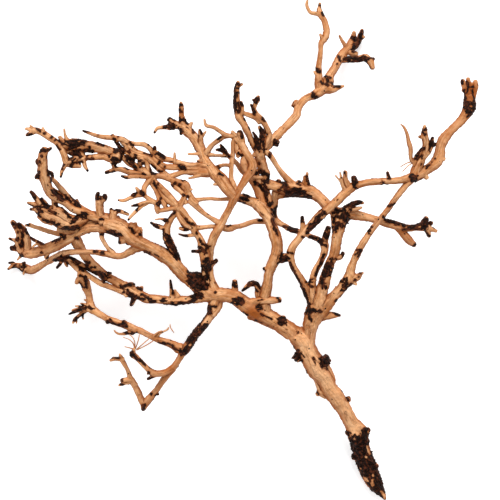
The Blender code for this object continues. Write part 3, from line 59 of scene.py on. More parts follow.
# Each limb has its name, then its places: x, y as seen, height of the middle and thickness, in mm.
LIMBS = {
    "butt_and_main_limb": {
        "trunk": ((203, -374, 10, 3), (199, -367, 9, 9), (190.5, -355, 9.3, 17.5), (183.5, -343, 10.5, 22.2),
            (177.5, -330, 12, 23.2), (171.7, -315, 17, 24.4), (167, -300, 23, 23.8), (163, -285, 30, 26.6),
            (160, -272, 37, 30.5), (151, -258, 43, 23), (144.2, -245, 48, 22), (136, -231, 53, 24),
            (127, -218, 58, 28), (118.5, -207, 63, 27), (111.5, -192, 69, 26), (101.5, -180, 73, 30.5),
            (95, -168, 77, 31), (89.5, -158, 80, 28), (84.5, -147, 83, 27), (80, -136, 86, 29),
            (70, -127, 88, 27)),
        "trunk side bark": ((122, -212, 62, 18), (108, -212, 63, 12), (100, -217, 63, 6)),
        "left limb": ((88, -148, 83, 20), (70, -128, 88, 26), (60, -119, 90, 23), (45, -110, 92, 23),
            (30, -101, 95, 25), (15, -93, 98, 26), (0, -86, 101, 26), (-12, -78, 103, 24),
            (-22, -71, 104, 22), (-32, -68, 105, 21), (-44, -67, 106, 22), (-56, -66, 106, 21),
            (-66, -62, 106, 21), (-75, -54, 106, 22), (-84, -48, 107, 21), (-96, -40, 109, 19),
            (-108, -27, 112, 20), (-120, -15, 116, 20), (-130, -8, 118, 21), (-140, -1.5, 121, 19),
            (-152, 4, 124, 18), (-162, 9, 126, 19), (-172, 14, 127, 22), (-182, 22, 126, 25),
            (-192, 31, 124, 27), (-204, 36, 122, 28), (-215, 39, 120, 22)),
    },
    "left_hands": {
        "upper strand": ((-200, 42, 122, 18), (-220, 48, 120, 16), (-240, 52, 120, 14), (-252, 57, 121, 12),
            (-266, 62, 125, 10), (-277, 70, 130, 9), (-288, 76, 136, 10), (-297, 82, 142, 12),
            (-303, 92, 148, 14), (-306, 103, 155, 15), (-310, 115, 161, 15), (-311, 128, 167, 14),
            (-311, 140, 172, 13), (-307, 152, 177, 10)),
        "upper strand tip right": ((-308, 147, 175, 8), (-302, 151, 178, 5), (-298, 153, 180, 3)),
        "upper strand tip left": ((-309, 145, 175, 7), (-312, 149, 178, 4), (-314, 151, 180, 2.5)),
        "upper strand flap": ((-306, 116, 163, 8), (-298, 115, 165, 5), (-295, 106, 164, 3)),
        "upper strand back": ((-232, 51, 119, 10), (-239, 53, 118, 11), (-249, 58, 118, 12),
            (-256, 62, 119, 12), (-265, 70, 121, 11), (-273, 79, 124, 9), (-280, 88, 128, 8),
            (-286, 95, 134, 7), (-294, 104, 144, 6), (-303, 108, 156, 5)),
        "lower strand": ((-198, 31, 121, 20), (-220, 33, 118, 13), (-240, 33, 114, 13), (-255, 28, 108, 14),
            (-270, 18, 100, 15), (-285, 10, 92, 15), (-300, 3, 86, 16), (-315, -2, 82, 15),
            (-330, -5, 80, 15), (-341, -2, 80, 14), (-347, 10, 84, 12), (-346, 22, 90, 10),
            (-350, 33, 97, 9), (-357, 43, 104, 6)),
        "lower hand finger": ((-334, -2, 80, 10), (-334, 12, 85, 10), (-337, 23, 90, 9), (-341, 32, 95, 8),
            (-348, 39, 100, 6)),
        "lower hand tip": ((-341, 12, 84, 8), (-354, 15, 86, 5), (-362, 17.5, 88, 3)),
        "lower hand knob": ((-345, 3, 80, 9), (-353, 3, 80, 9), (-359, 2, 81, 6)),
        "lower hand heel": ((-340, -3, 79, 8), (-344, -9, 78, 4), (-349, -15, 76, 2)),
        "lower twig": ((-308, 5, 88, 7), (-318, 12, 93, 4), (-324, 15, 96, 4), (-331, 20, 99, 2.5)),
        "lower twig spur": ((-310, 4, 87, 6), (-320, 9, 92, 3), (-327, 4, 94, 2.5)),
        "lower bump": ((-303, -3, 85, 8), (-306, -12, 82, 6)),
        "paddle upper half": ((-245, 51, 119, 13), (-254, 46, 119, 14), (-265, 44.5, 122, 14),
            (-276.5, 49, 125, 15.5), (-288, 57, 129, 16), (-301, 60.2, 132, 14), (-313, 64.5, 134, 13),
            (-322, 67, 136, 10)),
        "paddle lower half": ((-252, 45, 119, 12), (-264, 38.5, 121, 13), (-279.5, 39, 125, 15.5),
            (-292, 45.5, 129, 16), (-305, 50.5, 132, 14), (-315, 57.5, 134, 12), (-321, 63, 136, 9)),
        "paddle finger high": ((-314, 67, 134, 9), (-320, 77, 139, 7), (-327, 87, 143, 4)),
        "paddle finger left": ((-316, 66, 134, 9), (-326, 69, 138, 6), (-334, 71, 140, 3)),
        "paddle finger low": ((-310, 60, 132, 9), (-322, 61, 132, 6), (-330, 61, 132, 3)),
        "paddle spike": ((-303, 64, 133, 7), (-308, 72, 139, 5), (-313, 78, 143, 3)),
        "paddle link": ((-294, 80, 139, 8), (-293, 70, 134, 9), (-292, 60, 130, 10)),
        "hidden twig": ((-268, 22, 100, 9), (-278, 23, 98, 8), (-290, 25, 97, 7), (-305, 29, 99, 6.5),
            (-320, 34, 102, 6), (-333, 37, 105, 4), (-337, 37, 107, 3)),
        "hidden twig tip": ((-322, 34, 102, 5), (-331, 40, 107, 2.5)),
        "left upright stub": ((-224, 48, 120, 13), (-226, 65, 126, 12), (-226, 76, 131, 12),
            (-226, 79, 133, 9)),
        "stub lobe left": ((-227, 74, 130, 8), (-229, 82, 136, 6), (-227, 86, 139, 4)),
        "stub lobe right": ((-223, 74, 131, 8), (-218, 79, 134, 8), (-218, 83, 136, 5)),
        "shoulder bump": ((-206, 44, 124, 14), (-206, 55, 129, 9), (-209, 62, 132, 4)),
        "shoulder twig": ((-205, 54, 128, 8), (-198, 58, 131, 6), (-190, 56, 134, 5), (-182, 53, 137, 3)),
        "shoulder lobe": ((-186, 19, 125, 16), (-193, 13, 123, 9), (-196, 10, 122, 4)),
        "bridge limb": ((-158, 6, 122, 13), (-172, 2, 118, 13), (-181, -3, 116, 11), (-190, -8, 114, 9.5),
            (-200, -9, 112, 9), (-210, -7, 110, 9), (-220, -5, 108, 9), (-235, -3, 104, 8),
            (-250, -3, 97, 7.5), (-265, -3, 88, 8), (-280, -5, 76, 9), (-290, -10, 65, 9),
            (-300, -15.5, 52, 9), (-310, -21, 38, 9), (-320, -27, 23, 10), (-329, -30, 10, 11),
            (-338, -27, 4.2, 12), (-345, -24, 4, 9), (-352, -23, 7, 7), (-358, -25, 10, 5),
            (-363, -29, 12, 3)),
        "bridge hand up": ((-339, -26, 7, 7), (-341, -21, 10, 5), (-337, -18, 12, 2.5)),
        "bridge hand left": ((-352, -23, 7, 6), (-356, -20, 10, 5), (-362, -19, 13, 2.5)),
        "bridge hand low": ((-335, -29, 9, 7), (-339, -33, 10, 4), (-340, -37, 12, 2)),
        "bridge loop": ((-222, 34, 117, 9), (-222, 18, 113, 7), (-218, 10, 112, 6), (-213, 3, 111, 6),
            (-205, -5, 111, 8)),
    },
    "low_left_limbs": {
        "under limb": ((-262, 23, 103, 12), (-258, 10, 90, 14), (-252, 0, 80, 13), (-246, -10, 76, 13),
            (-237, -20, 74, 13), (-227, -30, 73, 12), (-213, -40, 74, 11), (-200, -47.5, 77, 11),
            (-190, -53, 80, 12), (-180, -58, 83, 13), (-170, -64, 86, 14), (-160, -70, 90, 14),
            (-150, -74, 91, 12)),
        "low left limb": ((-58, -68, 106, 18), (-75, -71, 103, 16), (-85, -73.5, 100, 13),
            (-95, -75, 98, 12), (-105, -75.5, 96, 12.5), (-115, -76, 95, 13.5), (-125, -75.5, 94, 12),
            (-140, -74, 92, 11.5), (-155, -73, 91, 13), (-165, -69, 88, 12), (-175, -67, 86, 11),
            (-185, -64, 83, 11), (-195, -61, 80, 9), (-205, -57.5, 78, 7.5), (-215, -53.5, 75, 8),
            (-225, -49.5, 73, 8), (-233, -44.5, 71, 7.5), (-240, -40, 69, 7.5), (-248, -35, 68, 9),
            (-255, -30, 67, 10), (-263, -24, 67, 9), (-270, -18, 69, 8), (-277, -14, 71, 9),
            (-285, -13, 72, 8), (-293, -16, 71, 4)),
        "low left upper strand": ((-218, -38, 73, 9), (-231, -34, 70, 6), (-240, -29, 69, 6),
            (-248, -24, 69, 6), (-257, -19, 70, 6), (-267, -14, 71, 7), (-278, -12, 72, 8)),
        "low left drip": ((-274, -16, 70, 7), (-276, -20, 70, 5), (-274, -25, 69, 3)),
        "low left flake": ((-281, -14, 71, 6), (-285, -21, 72, 5), (-290, -27, 73, 3)),
        "low left spike": ((-117, -76, 95, 11), (-116.5, -68, 98, 9), (-118, -59, 102, 5.5),
            (-119, -51, 106, 4), (-119.5, -45, 109, 2.5)),
        "low left foot": ((-172, -66, 87, 9), (-175, -75, 84, 8), (-178.5, -83, 82, 5)),
        "low left cap": ((-186, -55, 84, 8), (-178, -52, 86, 7), (-173, -53, 86, 4)),
        "under lump": ((-226, -33, 75, 9), (-220, -40, 77, 12), (-219, -46, 77, 6)),
        "falling limb": ((-254, -30, 67, 11), (-252, -41, 63, 14), (-247, -50, 57, 14), (-244, -60, 52, 12),
            (-241, -70, 48, 10), (-240, -78, 47, 11), (-239, -86, 48, 15), (-232, -92, 50, 12),
            (-224, -97, 53, 10.5), (-215, -102.5, 56, 10.5), (-205, -106.5, 59, 10.5), (-195, -110, 62, 10),
            (-185, -113, 65, 10.5), (-175, -117.5, 68, 10.5), (-165, -121, 71, 9.5), (-155, -126, 74, 9),
            (-145, -131, 77, 9), (-135, -135.5, 79, 9.5), (-125, -138.5, 81, 10.5), (-115, -142.5, 82, 12),
            (-107, -147, 83, 15), (-97, -150, 84, 13)),
        "falling lobe": ((-250, -40, 62, 10), (-257, -45, 64, 9.5), (-261, -50, 64, 5)),
        "falling under lump": ((-176, -116, 68, 10), (-175, -122, 67, 8), (-178, -126, 66, 5)),
        "falling twig": ((-175, -122, 67, 7), (-185, -124.5, 65, 5.5), (-192, -126, 64, 3.5),
            (-199, -125, 63, 3), (-204, -120.5, 64, 2)),
        "spray 1": ((-240, -83, 49, 8), (-248, -82, 52, 4), (-254, -80, 54, 2.5)),
        "spray 2": ((-242, -86, 50, 7), (-250, -86, 54, 4), (-256, -85, 57, 3.5), (-262, -84, 60, 2)),
        "spray 3": ((-243, -88, 49, 7), (-252, -88.5, 50, 4.5), (-260, -89.5, 51, 4.5),
            (-267, -90.5, 52, 3)),
        "spray 4": ((-243, -88, 47, 7), (-255, -91, 44, 4), (-265, -93.5, 42, 3.5), (-272, -96.5, 41, 2)),
        "spray 5": ((-243, -88, 47, 8), (-251, -94, 44, 5.5), (-257, -99, 41, 5), (-262, -103, 39, 5),
            (-266, -110, 37, 2.5)),
        "spray 5 tip": ((-261, -102, 39, 4), (-260, -110, 37, 2)),
        "spray 6": ((-247, -90, 47, 5), (-251, -97, 46, 3), (-250, -104, 45, 2)),
        "spray 7": ((-239, -78, 48, 6), (-245, -76, 51, 3.5), (-248.5, -74.5, 53, 2.5)),
        "V limb": ((-52, -70, 105, 17), (-55, -84, 102, 17), (-57, -95, 98, 14), (-62, -103, 96, 12.5),
            (-68, -111, 94, 12.5), (-76, -120, 92, 13), (-84, -130, 89, 12.5), (-90, -139, 87, 12.5),
            (-97, -149, 85, 14), (-104, -160, 81, 10), (-110, -170, 77, 10), (-118, -180, 73, 11.5),
            (-126, -190, 68, 10), (-133.5, -200, 64, 9), (-140, -210, 60, 9), (-148.5, -220, 56, 10),
            (-155, -228, 53, 11), (-159, -234, 51, 10), (-160, -240, 49, 5)),
        "V left arm": ((-157, -235, 51, 10), (-163, -225, 55, 9.5), (-167, -215, 59, 9.5),
            (-171, -207, 62, 9.5), (-176, -198, 66, 9), (-180.5, -189, 71, 6.5), (-183.5, -180, 76, 5.5),
            (-188, -172, 80, 6), (-192, -165, 83, 6.5), (-194, -160, 85, 5), (-196, -156, 87, 2.5)),
        "V arm hand": ((-190, -164, 83, 6), (-198, -163.5, 85, 5.5), (-204, -163.5, 87, 5),
            (-210, -166, 88, 3)),
        "V arm hand tip": ((-200, -163, 86, 4), (-206, -161, 88, 2.5)),
        "V arm stub": ((-179, -195, 68, 9), (-187, -195, 73, 7.5), (-193, -196, 76, 6)),
        "V arm lower stub": ((-182, -198, 69, 7), (-191, -200.5, 71, 5.5), (-197, -203.5, 70, 2.5)),
        "V arm spur": ((-174, -204, 64, 9), (-169, -201, 66, 3)),
        "V elbow bump": ((-142, -214, 58, 7), (-137, -217, 59, 3)),
        "inner limb": ((-116, -178, 74, 11), (-128, -184, 76, 9.5), (-137, -185.5, 79, 10),
            (-145, -184.5, 83, 9.5), (-152, -179.5, 87, 7.5), (-158, -174, 90, 7.5),
            (-164, -167.5, 93, 7.5), (-170, -162, 96, 8.5), (-176, -157, 99, 9), (-178.5, -153.5, 101, 5)),
        "inner limb crown": ((-175, -158, 99, 6), (-174.5, -152, 101, 6), (-173.5, -147, 103, 3)),
        "inner lower stub": ((-139, -186, 80, 7), (-148, -190.5, 79, 5), (-154, -194, 78, 3.5)),
        "inner side stub": ((-147, -182, 85, 6), (-154, -186, 84, 3)),
        "fibre root twig": ((-145, -131, 78, 5), (-141, -126, 84, 3), (-136, -122.5, 88, 2),
            (-132, -121.5, 91, 1.6)),
        "forked twig": ((-141, -132, 79, 5), (-135, -125.5, 86, 2.6), (-129, -122, 90, 2.4),
            (-124, -119.5, 93, 2.2), (-122, -116.5, 95, 1.6)),
    },
    "fan_of_twigs": {
        "dark stub limb": ((-108, -24, 111, 13), (-110, -16, 113, 13), (-113, -6, 118, 11),
            (-116, 1, 121, 11.5), (-120.5, 10, 126, 13.5), (-124, 18, 130, 12.5), (-125, 25, 133, 10.5),
            (-125, 32, 136, 10), (-122, 40, 140, 8), (-118, 47, 143, 8), (-113, 54, 146, 8),
            (-107, 62, 149, 9)),
        "dark stub arm": ((-124, 32, 136, 8), (-134, 34, 139, 6), (-142, 37, 141, 5.5),
            (-149, 41.5, 143, 3)),
        "dark stub knob": ((-121, 42, 140, 7), (-126, 44, 142, 6), (-133, 46.5, 144, 2.6),
            (-142, 45.5, 146, 1.6)),
        "knob strand": ((-76, -55, 106, 20), (-67, -47, 108, 19), (-66, -38, 113, 16), (-66, -28, 120, 15),
            (-67, -18, 128, 15), (-68, -8, 133, 15), (-70, 0, 136, 15), (-72, 8, 138, 13),
            (-75, 16, 140, 10), (-79, 23, 142, 9), (-84, 30, 144, 10), (-84, 36, 146, 9), (-88, 42, 148, 9),
            (-93, 48, 149, 9), (-99, 56, 150, 10), (-106, 64, 150, 9)),
        "knob strand left stub": ((-68, -2, 136, 9), (-79, -2, 138, 5), (-87, -2, 140, 4)),
        "knob strand right stub": ((-63, -28, 118, 9), (-56, -21, 122, 5.5), (-50, -15, 126, 5.5)),
        "knob strand twig": ((-80, 24, 142, 6), (-88, 22, 144, 4.5), (-96, 21.5, 146, 4),
            (-107, 24, 149, 2)),
        "knob strand dark stub": ((-90, 34, 145, 7), (-99, 31, 146, 5), (-106, 33, 147, 4)),
        "light front limb": ((-54, -60, 106, 16), (-57, -48, 111, 10), (-59, -35, 117, 8),
            (-59.5, -22, 123, 8), (-59.5, -10, 128, 8), (-59, 0, 133, 9), (-58, 9, 137, 11),
            (-54, 20, 141, 12), (-49, 29, 144, 11), (-44, 37, 147, 10.5), (-39, 47, 149, 10),
            (-33, 58, 151, 9.5), (-28, 68, 152, 10), (-24, 77, 153, 12), (-19, 86, 154, 11),
            (-13, 96, 154, 9), (-6, 107, 155, 11), (1, 118, 156, 12), (4, 127, 157, 12), (1, 136, 158, 11),
            (-4, 143, 159, 11), (-9, 151, 160, 11), (-14, 160, 160, 11), (-20, 169, 160, 13),
            (-23, 173, 161, 8)),
        "fan twig low": ((-106, 66, 149, 9), (-106, 52, 148, 9), (-101, 44, 147, 10), (-95, 37, 146, 10),
            (-86, 34, 145, 8), (-76, 33.5, 144, 6.5), (-62, 35, 143, 6), (-50, 35.5, 143, 6),
            (-42, 34, 141, 8), (-32, 32.5, 138, 10), (-22, 34.5, 133, 7.5), (-10, 37, 127, 7),
            (0, 41, 121, 7), (10, 43, 116, 7.5), (22, 43, 112, 8), (34, 43, 111, 8), (43, 42, 111, 8)),
        "fan left limb": ((-108, 60, 149, 9), (-106, 66, 150, 9.5), (-102, 73, 150, 8), (-98, 80, 150, 8),
            (-94, 88, 150, 10), (-97, 96, 150, 13), (-103, 100, 150, 10), (-110, 102, 149, 9),
            (-120, 106, 149, 8), (-130, 110, 148, 8), (-140, 111, 148, 8), (-150, 111, 149, 10),
            (-156, 110, 150, 8), (-166, 110.5, 151, 7), (-176, 110, 153, 6), (-185, 109, 155, 5),
            (-193, 111, 157, 3)),
        "fan side strand": ((-117, 100, 148, 6), (-112, 95, 148, 8), (-106, 90, 149, 8), (-98, 83, 149, 8)),
        "fan right strand": ((-94, 90, 150, 9), (-90, 82, 150, 8), (-86, 74, 149, 10), (-80, 69, 149, 9)),
        "fan cross twig": ((-88, 74, 149, 8), (-72, 76, 145, 5), (-60, 77, 141, 4.5), (-45, 76, 135, 4.5),
            (-30, 77, 128, 6), (-19, 77, 124, 9), (-6, 77, 122, 11)),
        "fan diagonal": ((-90, 74, 149, 9), (-84, 69, 149, 9), (-76, 61, 148, 7), (-66, 53, 148, 6.5),
            (-56, 46.5, 147, 6.5), (-46, 41, 147, 8), (-40, 39, 147, 7)),
        "fan spur": ((-92, 90, 151, 5), (-87, 91, 153, 3)),
        "fan corner spur": ((-97, 98, 151, 8), (-99, 104, 153, 4)),
        "fan strand a": ((-145, 111, 148, 9), (-145, 104, 148, 9), (-135, 95, 148, 8.5),
            (-122, 82, 149, 8.5), (-113, 71, 149, 8.5), (-106, 62, 150, 9)),
        "fan strand b": ((-150, 106, 148, 7), (-147, 98, 148, 6), (-142, 90, 148, 5.5),
            (-138, 82, 147, 6.5), (-136, 75, 147, 8), (-139, 68, 148, 8), (-139, 60, 147, 7),
            (-138, 55, 147, 4)),
        "fan strand c": ((-138, 93, 147, 7), (-132, 83, 147, 7), (-124, 75, 148, 8), (-114, 68, 149, 8),
            (-105, 63, 150, 8)),
        "fan strand d": ((-140, 58, 147, 6), (-131, 59.5, 147, 6.5), (-121, 61.5, 148, 6.5),
            (-107, 64, 150, 8)),
        "fan elbow": ((-146, 110, 149, 8), (-154, 101, 149, 7.5), (-159, 92, 150, 7.5), (-160, 85, 151, 9),
            (-168, 82.5, 152, 6.5), (-180, 78, 154, 5), (-190, 74, 156, 4.5), (-198, 75, 157, 2.5)),
        "fan elbow stub": ((-163, 85, 152, 8), (-168, 89, 154, 6), (-171, 94, 156, 3)),
        "fan elbow spur": ((-168, 83, 152, 6), (-174, 83.5, 154, 4), (-178, 82, 155, 3)),
        "fan elbow right": ((-161, 85, 151, 8), (-155, 79, 150, 6), (-148, 75, 150, 5.5),
            (-138, 69, 149, 8)),
        "fan twig a": ((-178, 66, 156, 2.6), (-168, 68, 154, 5), (-158, 71, 152, 5.5), (-148, 72, 150, 5.5),
            (-136, 69, 149, 7)),
        "fan twig b": ((-183, 45, 152, 2.5), (-177, 52, 152, 4.5), (-170, 59, 152, 5), (-163, 65, 151, 5),
            (-153, 71, 150, 5)),
    },
    "upper_left_bundle": {
        "bundle root": ((-60, 126, 142, 14), (-78, 127, 141, 9), (-90, 127.5, 142, 8), (-105, 131, 144, 7),
            (-120, 135, 146, 8), (-135, 138, 148, 8), (-142, 142, 149, 8), (-147, 148, 151, 7),
            (-152, 154, 153, 7), (-160, 158.5, 155, 6.5), (-170, 159, 157, 6), (-182, 161, 160, 7),
            (-190, 165, 163, 7), (-203, 168, 166, 7), (-215, 169, 169, 6.5), (-228, 171, 172, 5.5),
            (-240, 175, 175, 4.5), (-251, 179, 178, 2.5)),
        "bundle root spur": ((-113, 132, 146, 6), (-113, 140, 149, 4), (-113, 146, 151, 2.5)),
        "bundle stub": ((-143, 144, 150, 6), (-143, 150, 153, 4.5), (-143, 155, 155, 4)),
        "bundle dark ridge": ((-127, 138, 148, 6), (-134, 142, 150, 6), (-140, 147, 151, 5)),
        "bundle tip stub": ((-204, 168, 166, 5), (-206, 173, 169, 4)),
        "bundle lower strand": ((-66, 122, 142, 12), (-85, 123.5, 142, 8), (-100, 124, 144, 7),
            (-115, 124, 146, 7.5), (-130, 126, 148, 8), (-140, 132, 150, 7.5), (-149, 139, 152, 7.5),
            (-158, 143, 153, 7), (-170, 146, 155, 9), (-178, 153, 157, 8), (-187, 162, 161, 7)),
        "bundle middle": ((-120, 109, 147, 8), (-130, 116, 147, 8), (-138, 123, 149, 9),
            (-146, 131, 151, 8), (-155, 138, 153, 9), (-164, 140, 155, 10), (-174, 143, 156, 11),
            (-184, 148, 156, 10), (-193, 148, 156, 8), (-202, 146, 156, 9)),
        "bundle low cross": ((-145, 111, 149, 10), (-155, 116, 150, 10), (-163, 121, 151, 10),
            (-172, 126, 152, 10), (-181, 131, 153, 10), (-189, 138, 154, 9), (-200, 140, 155, 12)),
        "bundle rib": ((-150, 112, 149, 8), (-153, 124, 151, 8), (-158, 134, 153, 9), (-167, 142, 155, 9)),
        "bundle side root": ((-62, 116, 143, 13), (-78, 116, 142, 11), (-88, 117, 142, 8),
            (-100, 117, 143, 7), (-112, 113, 145, 7), (-121, 110, 147, 8), (-128, 110, 148, 7)),
        "bundle shelf": ((-152, 112, 150, 9), (-160, 115, 150, 9), (-170, 115, 151, 8.5),
            (-178, 116, 152, 8.5), (-188, 119.5, 153, 8), (-198, 121.5, 154, 7), (-208, 119, 155, 6),
            (-217, 116, 156, 4)),
        "bundle shelf link": ((-200, 120, 154, 6), (-204, 126, 154, 6), (-203, 134, 155, 10)),
        "dark twig": ((-204, 168, 166, 4), (-198, 158, 162, 5.5), (-191, 149, 158, 7)),
        "dark inner twig": ((-193, 163, 162, 6), (-187, 157, 160, 7), (-183, 150, 157, 8),
            (-178, 138, 154, 9), (-176, 128, 152, 7)),
        "top finger": ((-200, 141, 155, 18), (-207, 146, 156, 14), (-216, 151, 157, 13),
            (-226, 153, 157, 14), (-240, 155, 159, 16), (-255, 157, 161, 15), (-268, 158, 163, 16),
            (-277, 158, 165, 13), (-285, 156, 167, 9)),
        "top finger spike": ((-272, 160, 165, 8), (-277, 171, 169, 4), (-279, 182, 172, 2.5)),
        "top finger ridge": ((-246, 159, 162, 10), (-256, 162, 165, 9), (-268, 163, 167, 8)),
        "lower finger": ((-197, 140, 154, 16), (-208, 138, 155, 13), (-220, 140, 156, 9.5),
            (-235, 139, 157, 8), (-248, 138, 158, 8), (-262, 136, 160, 9), (-272, 133, 161, 10),
            (-279, 132, 162, 8)),
        "lower finger spur": ((-250, 137, 158, 6), (-247, 125, 160, 5.5), (-243, 118, 161, 3)),
        "lower finger knob": ((-257, 136, 159, 8), (-257, 128, 160, 6)),
        "finger link": ((-265, 156, 163, 7), (-257, 148, 161, 6.5), (-250, 139, 159, 6)),
        "far finger": ((-276, 134, 162, 10), (-279, 143, 164, 9.5), (-283, 152, 166, 9.5),
            (-290, 161, 168, 9.5), (-300, 168, 170, 9), (-312, 176, 172, 9), (-325, 180, 174, 8),
            (-337, 182, 176, 3)),
        "far finger low tip": ((-322, 178, 173, 7), (-330, 175, 176, 6), (-336, 172, 177, 3)),
        "far finger high tip": ((-324, 180, 174, 6), (-330, 187, 177, 2.5)),
        "far finger spur": ((-308, 174, 172, 6), (-311, 184, 175, 2.5)),
        "far finger drop": ((-276, 135, 162, 9), (-278, 126, 163, 6.5), (-282, 119, 164, 5.5),
            (-284, 109, 165, 3)),
    },
    "upper_left_limb": {
        "upper left limb": ((-21, 76, 152, 12), (-26, 83, 152, 16), (-35, 94, 150, 18), (-43, 105, 147, 19),
            (-54, 116, 144, 17), (-62, 127, 141, 15), (-70, 140, 138, 14), (-74, 152, 136, 15),
            (-80, 163, 134, 16), (-87, 172, 133, 16), (-95, 180, 132, 17), (-102, 186, 131, 14),
            (-110, 187, 131, 10), (-118, 186, 132, 9.5), (-125, 184.5, 133, 7), (-132, 184, 134, 5.5),
            (-139, 182.5, 135, 5), (-144, 175, 136, 2.5)),
        "head lobe": ((-108, 188, 132, 10), (-116, 192, 134, 9), (-122, 197, 136, 6)),
        "head horn": ((-99, 186, 132, 13), (-102, 196, 135, 10), (-103, 206, 138, 7.5), (-103, 215, 141, 7),
            (-103.5, 222, 143, 3)),
        "head spur": ((-101, 183, 131, 7), (-104, 173, 132, 3)),
        "head knob": ((-92, 183, 134, 8), (-87, 191, 137, 4)),
        "limb side stub": ((-73, 152, 137, 10), (-73.5, 165, 142, 7.5), (-74, 173, 145, 6.5),
            (-75.5, 181, 148, 3.5)),
        "limb side spike": ((-73, 169, 144, 5), (-66, 178, 148, 2.5)),
        "rib twig": ((-66, 145, 140, 9), (-57, 157, 146, 6.5), (-48, 164, 152, 6.5), (-38, 170, 158, 6),
            (-24, 171, 160, 7)),
        "rib twig thin": ((-62, 143, 140, 6), (-52, 142, 141, 4.4), (-34, 141, 139, 4.4)),
        "rib left twig": ((-70, 145, 139, 7), (-82, 144, 142, 4), (-93, 144, 145, 3)),
        "rib short twig": ((-50, 123, 143, 8), (-42, 127, 147, 5), (-29, 127, 150, 5)),
        "rib spur low": ((-45, 100, 148, 7), (-55, 98, 151, 2.5)),
        "rib spur left": ((-70, 115, 143, 8), (-82, 110, 144, 4.5), (-92, 107.5, 145, 2.5)),
        "rib spur high": ((-66, 134, 140, 9), (-79, 133, 143, 3)),
        "node left twig": ((-18, 170, 160, 9), (-27, 171, 161, 7), (-36, 172, 162, 6.5), (-45, 178, 164, 6),
            (-55, 184, 166, 5.5), (-66, 187, 168, 5), (-68.5, 196, 170, 3)),
        "node vertical twig": ((-21, 168, 160, 9), (-25, 160, 156, 7), (-25, 150, 153, 6.5),
            (-27, 135, 151, 6.5), (-28, 120, 150, 6.5), (-28, 107, 150, 7), (-25, 97, 151, 9),
            (-22, 89, 152, 9)),
        "node horn": ((-21, 170, 160, 8), (-27, 178, 164, 4)),
        "node dark stub": ((-12, 160, 160, 9), (-13, 169, 164, 8.5), (-16, 178, 168, 6.5)),
        "antler": ((22, 60, 130, 16), (17, 74, 128, 13), (14, 85, 127, 12.5), (8, 96, 127, 10.5),
            (2, 106, 128, 9.5), (-5, 113, 130, 8), (-12, 120, 132, 7.5), (-20, 130, 134, 6.5),
            (-27, 137, 136, 7), (-34, 143, 138, 7), (-40, 150, 140, 8)),
        "antler tip left": ((-38, 148, 140, 7), (-45, 150, 142, 5), (-51, 150, 143, 3)),
        "antler tip high": ((-39, 148, 140, 7), (-42, 154, 142, 5), (-44.5, 158, 143, 3)),
    },
    "middle_limbs": {
        "top hub": ((16, 136, 141, 13), (15, 144, 144, 15), (14, 151, 146, 14), (13, 157, 148, 9)),
        "top limb a": ((13, 147, 145, 11), (8, 153, 147, 9.5), (2, 165, 150, 8.5), (-4, 178, 152, 9),
            (-10, 190, 154, 10), (-16, 200, 156, 11), (-18.5, 210, 158, 9.5), (-20, 220, 160, 9),
            (-20, 232, 162, 8.5), (-20, 242, 164, 8), (-18.5, 249, 165, 6), (-17.5, 253, 166, 4)),
        "top limb a tip": ((-18, 246, 165, 6), (-11, 249, 167, 3)),
        "top limb a strand": ((-16, 199, 156, 8), (-11, 211, 160, 5), (-13, 223, 162, 3)),
        "top bridge": ((-15, 206, 158, 7), (-7, 205, 158, 5), (1, 203, 158, 5), (8, 200, 159, 6),
            (14, 197, 159, 6)),
        "top limb c": ((16, 148, 145, 11), (21, 154, 147, 9), (26, 163, 150, 8.5), (29, 172, 152, 8.5),
            (26, 181, 154, 8.5), (22, 189, 156, 8.5), (15, 198, 158, 8.5), (9, 205, 160, 7),
            (6, 212, 162, 6.5), (8, 219, 164, 6.5), (11, 226, 166, 9), (13, 231, 167, 4)),
        "top limb c tip": ((9, 222, 165, 6), (4, 226, 167, 3)),
        "top limb c spur": ((7, 206, 160, 6), (4, 213, 163, 4), (1, 219, 165, 2.5)),
        "dark spike a": ((14, 147, 147, 8), (12, 160, 152, 7), (8, 171, 157, 4.5), (4, 177, 159, 2.5)),
        "dark spike b": ((16, 150, 148, 8), (18, 162, 153, 6.5), (18.5, 174, 157, 5), (14, 186, 161, 2.5)),
        "hub knob": ((12, 143, 146, 9), (5, 143, 147, 6)),
        "middle upright": ((24, -92, 99, 16), (22, -74, 103, 16), (25, -58, 109, 15), (27, -45, 114, 14),
            (29, -32, 118, 15), (35, -18, 122, 17), (40, -5, 126, 18), (41, 8, 129, 18), (38, 20, 131, 19),
            (34, 33, 132, 18), (28, 47, 132, 18), (22, 58, 131, 19), (12, 68, 128, 17), (0, 73, 125, 13),
            (-10, 77, 122, 14), (-18, 77, 121, 9)),
        "middle side spur": ((27, -28, 120, 9), (20, -28, 121, 4)),
        "middle knob": ((42, -12, 123, 14), (51, -12, 122, 13), (59, -11, 121, 10)),
        "centre upright": ((32, 60, 128, 9), (29, 72, 128, 8), (26, 83, 128, 9.5), (22, 95, 129, 12),
            (22, 105, 131, 12), (24, 113, 133, 13), (20, 122, 136, 14.5), (17, 131, 139, 14.5),
            (15, 141, 142, 14.5), (15, 148, 144, 12)),
        "centre side twig": ((22, 110, 133, 6), (14, 109, 135, 5), (5, 109, 137, 4)),
        "right pointing stub": ((-6, -80, 106, 12), (8, -77.5, 108, 10.5), (20, -76, 109, 10),
            (34, -75.5, 108, 9.5), (46, -75, 107, 7)),
        "curled stub": ((20, -80, 100, 8), (12, -68, 103, 8), (12, -57, 108, 8.5), (9, -51, 112, 8.5),
            (3, -50, 114, 8.5), (-3, -53, 115, 7.5), (-8, -58, 114, 5), (-12, -61.5, 113, 3)),
        "dark upright stub": ((-23, -62, 106, 10), (-23, -54, 109, 8), (-23, -46, 112, 6.5)),
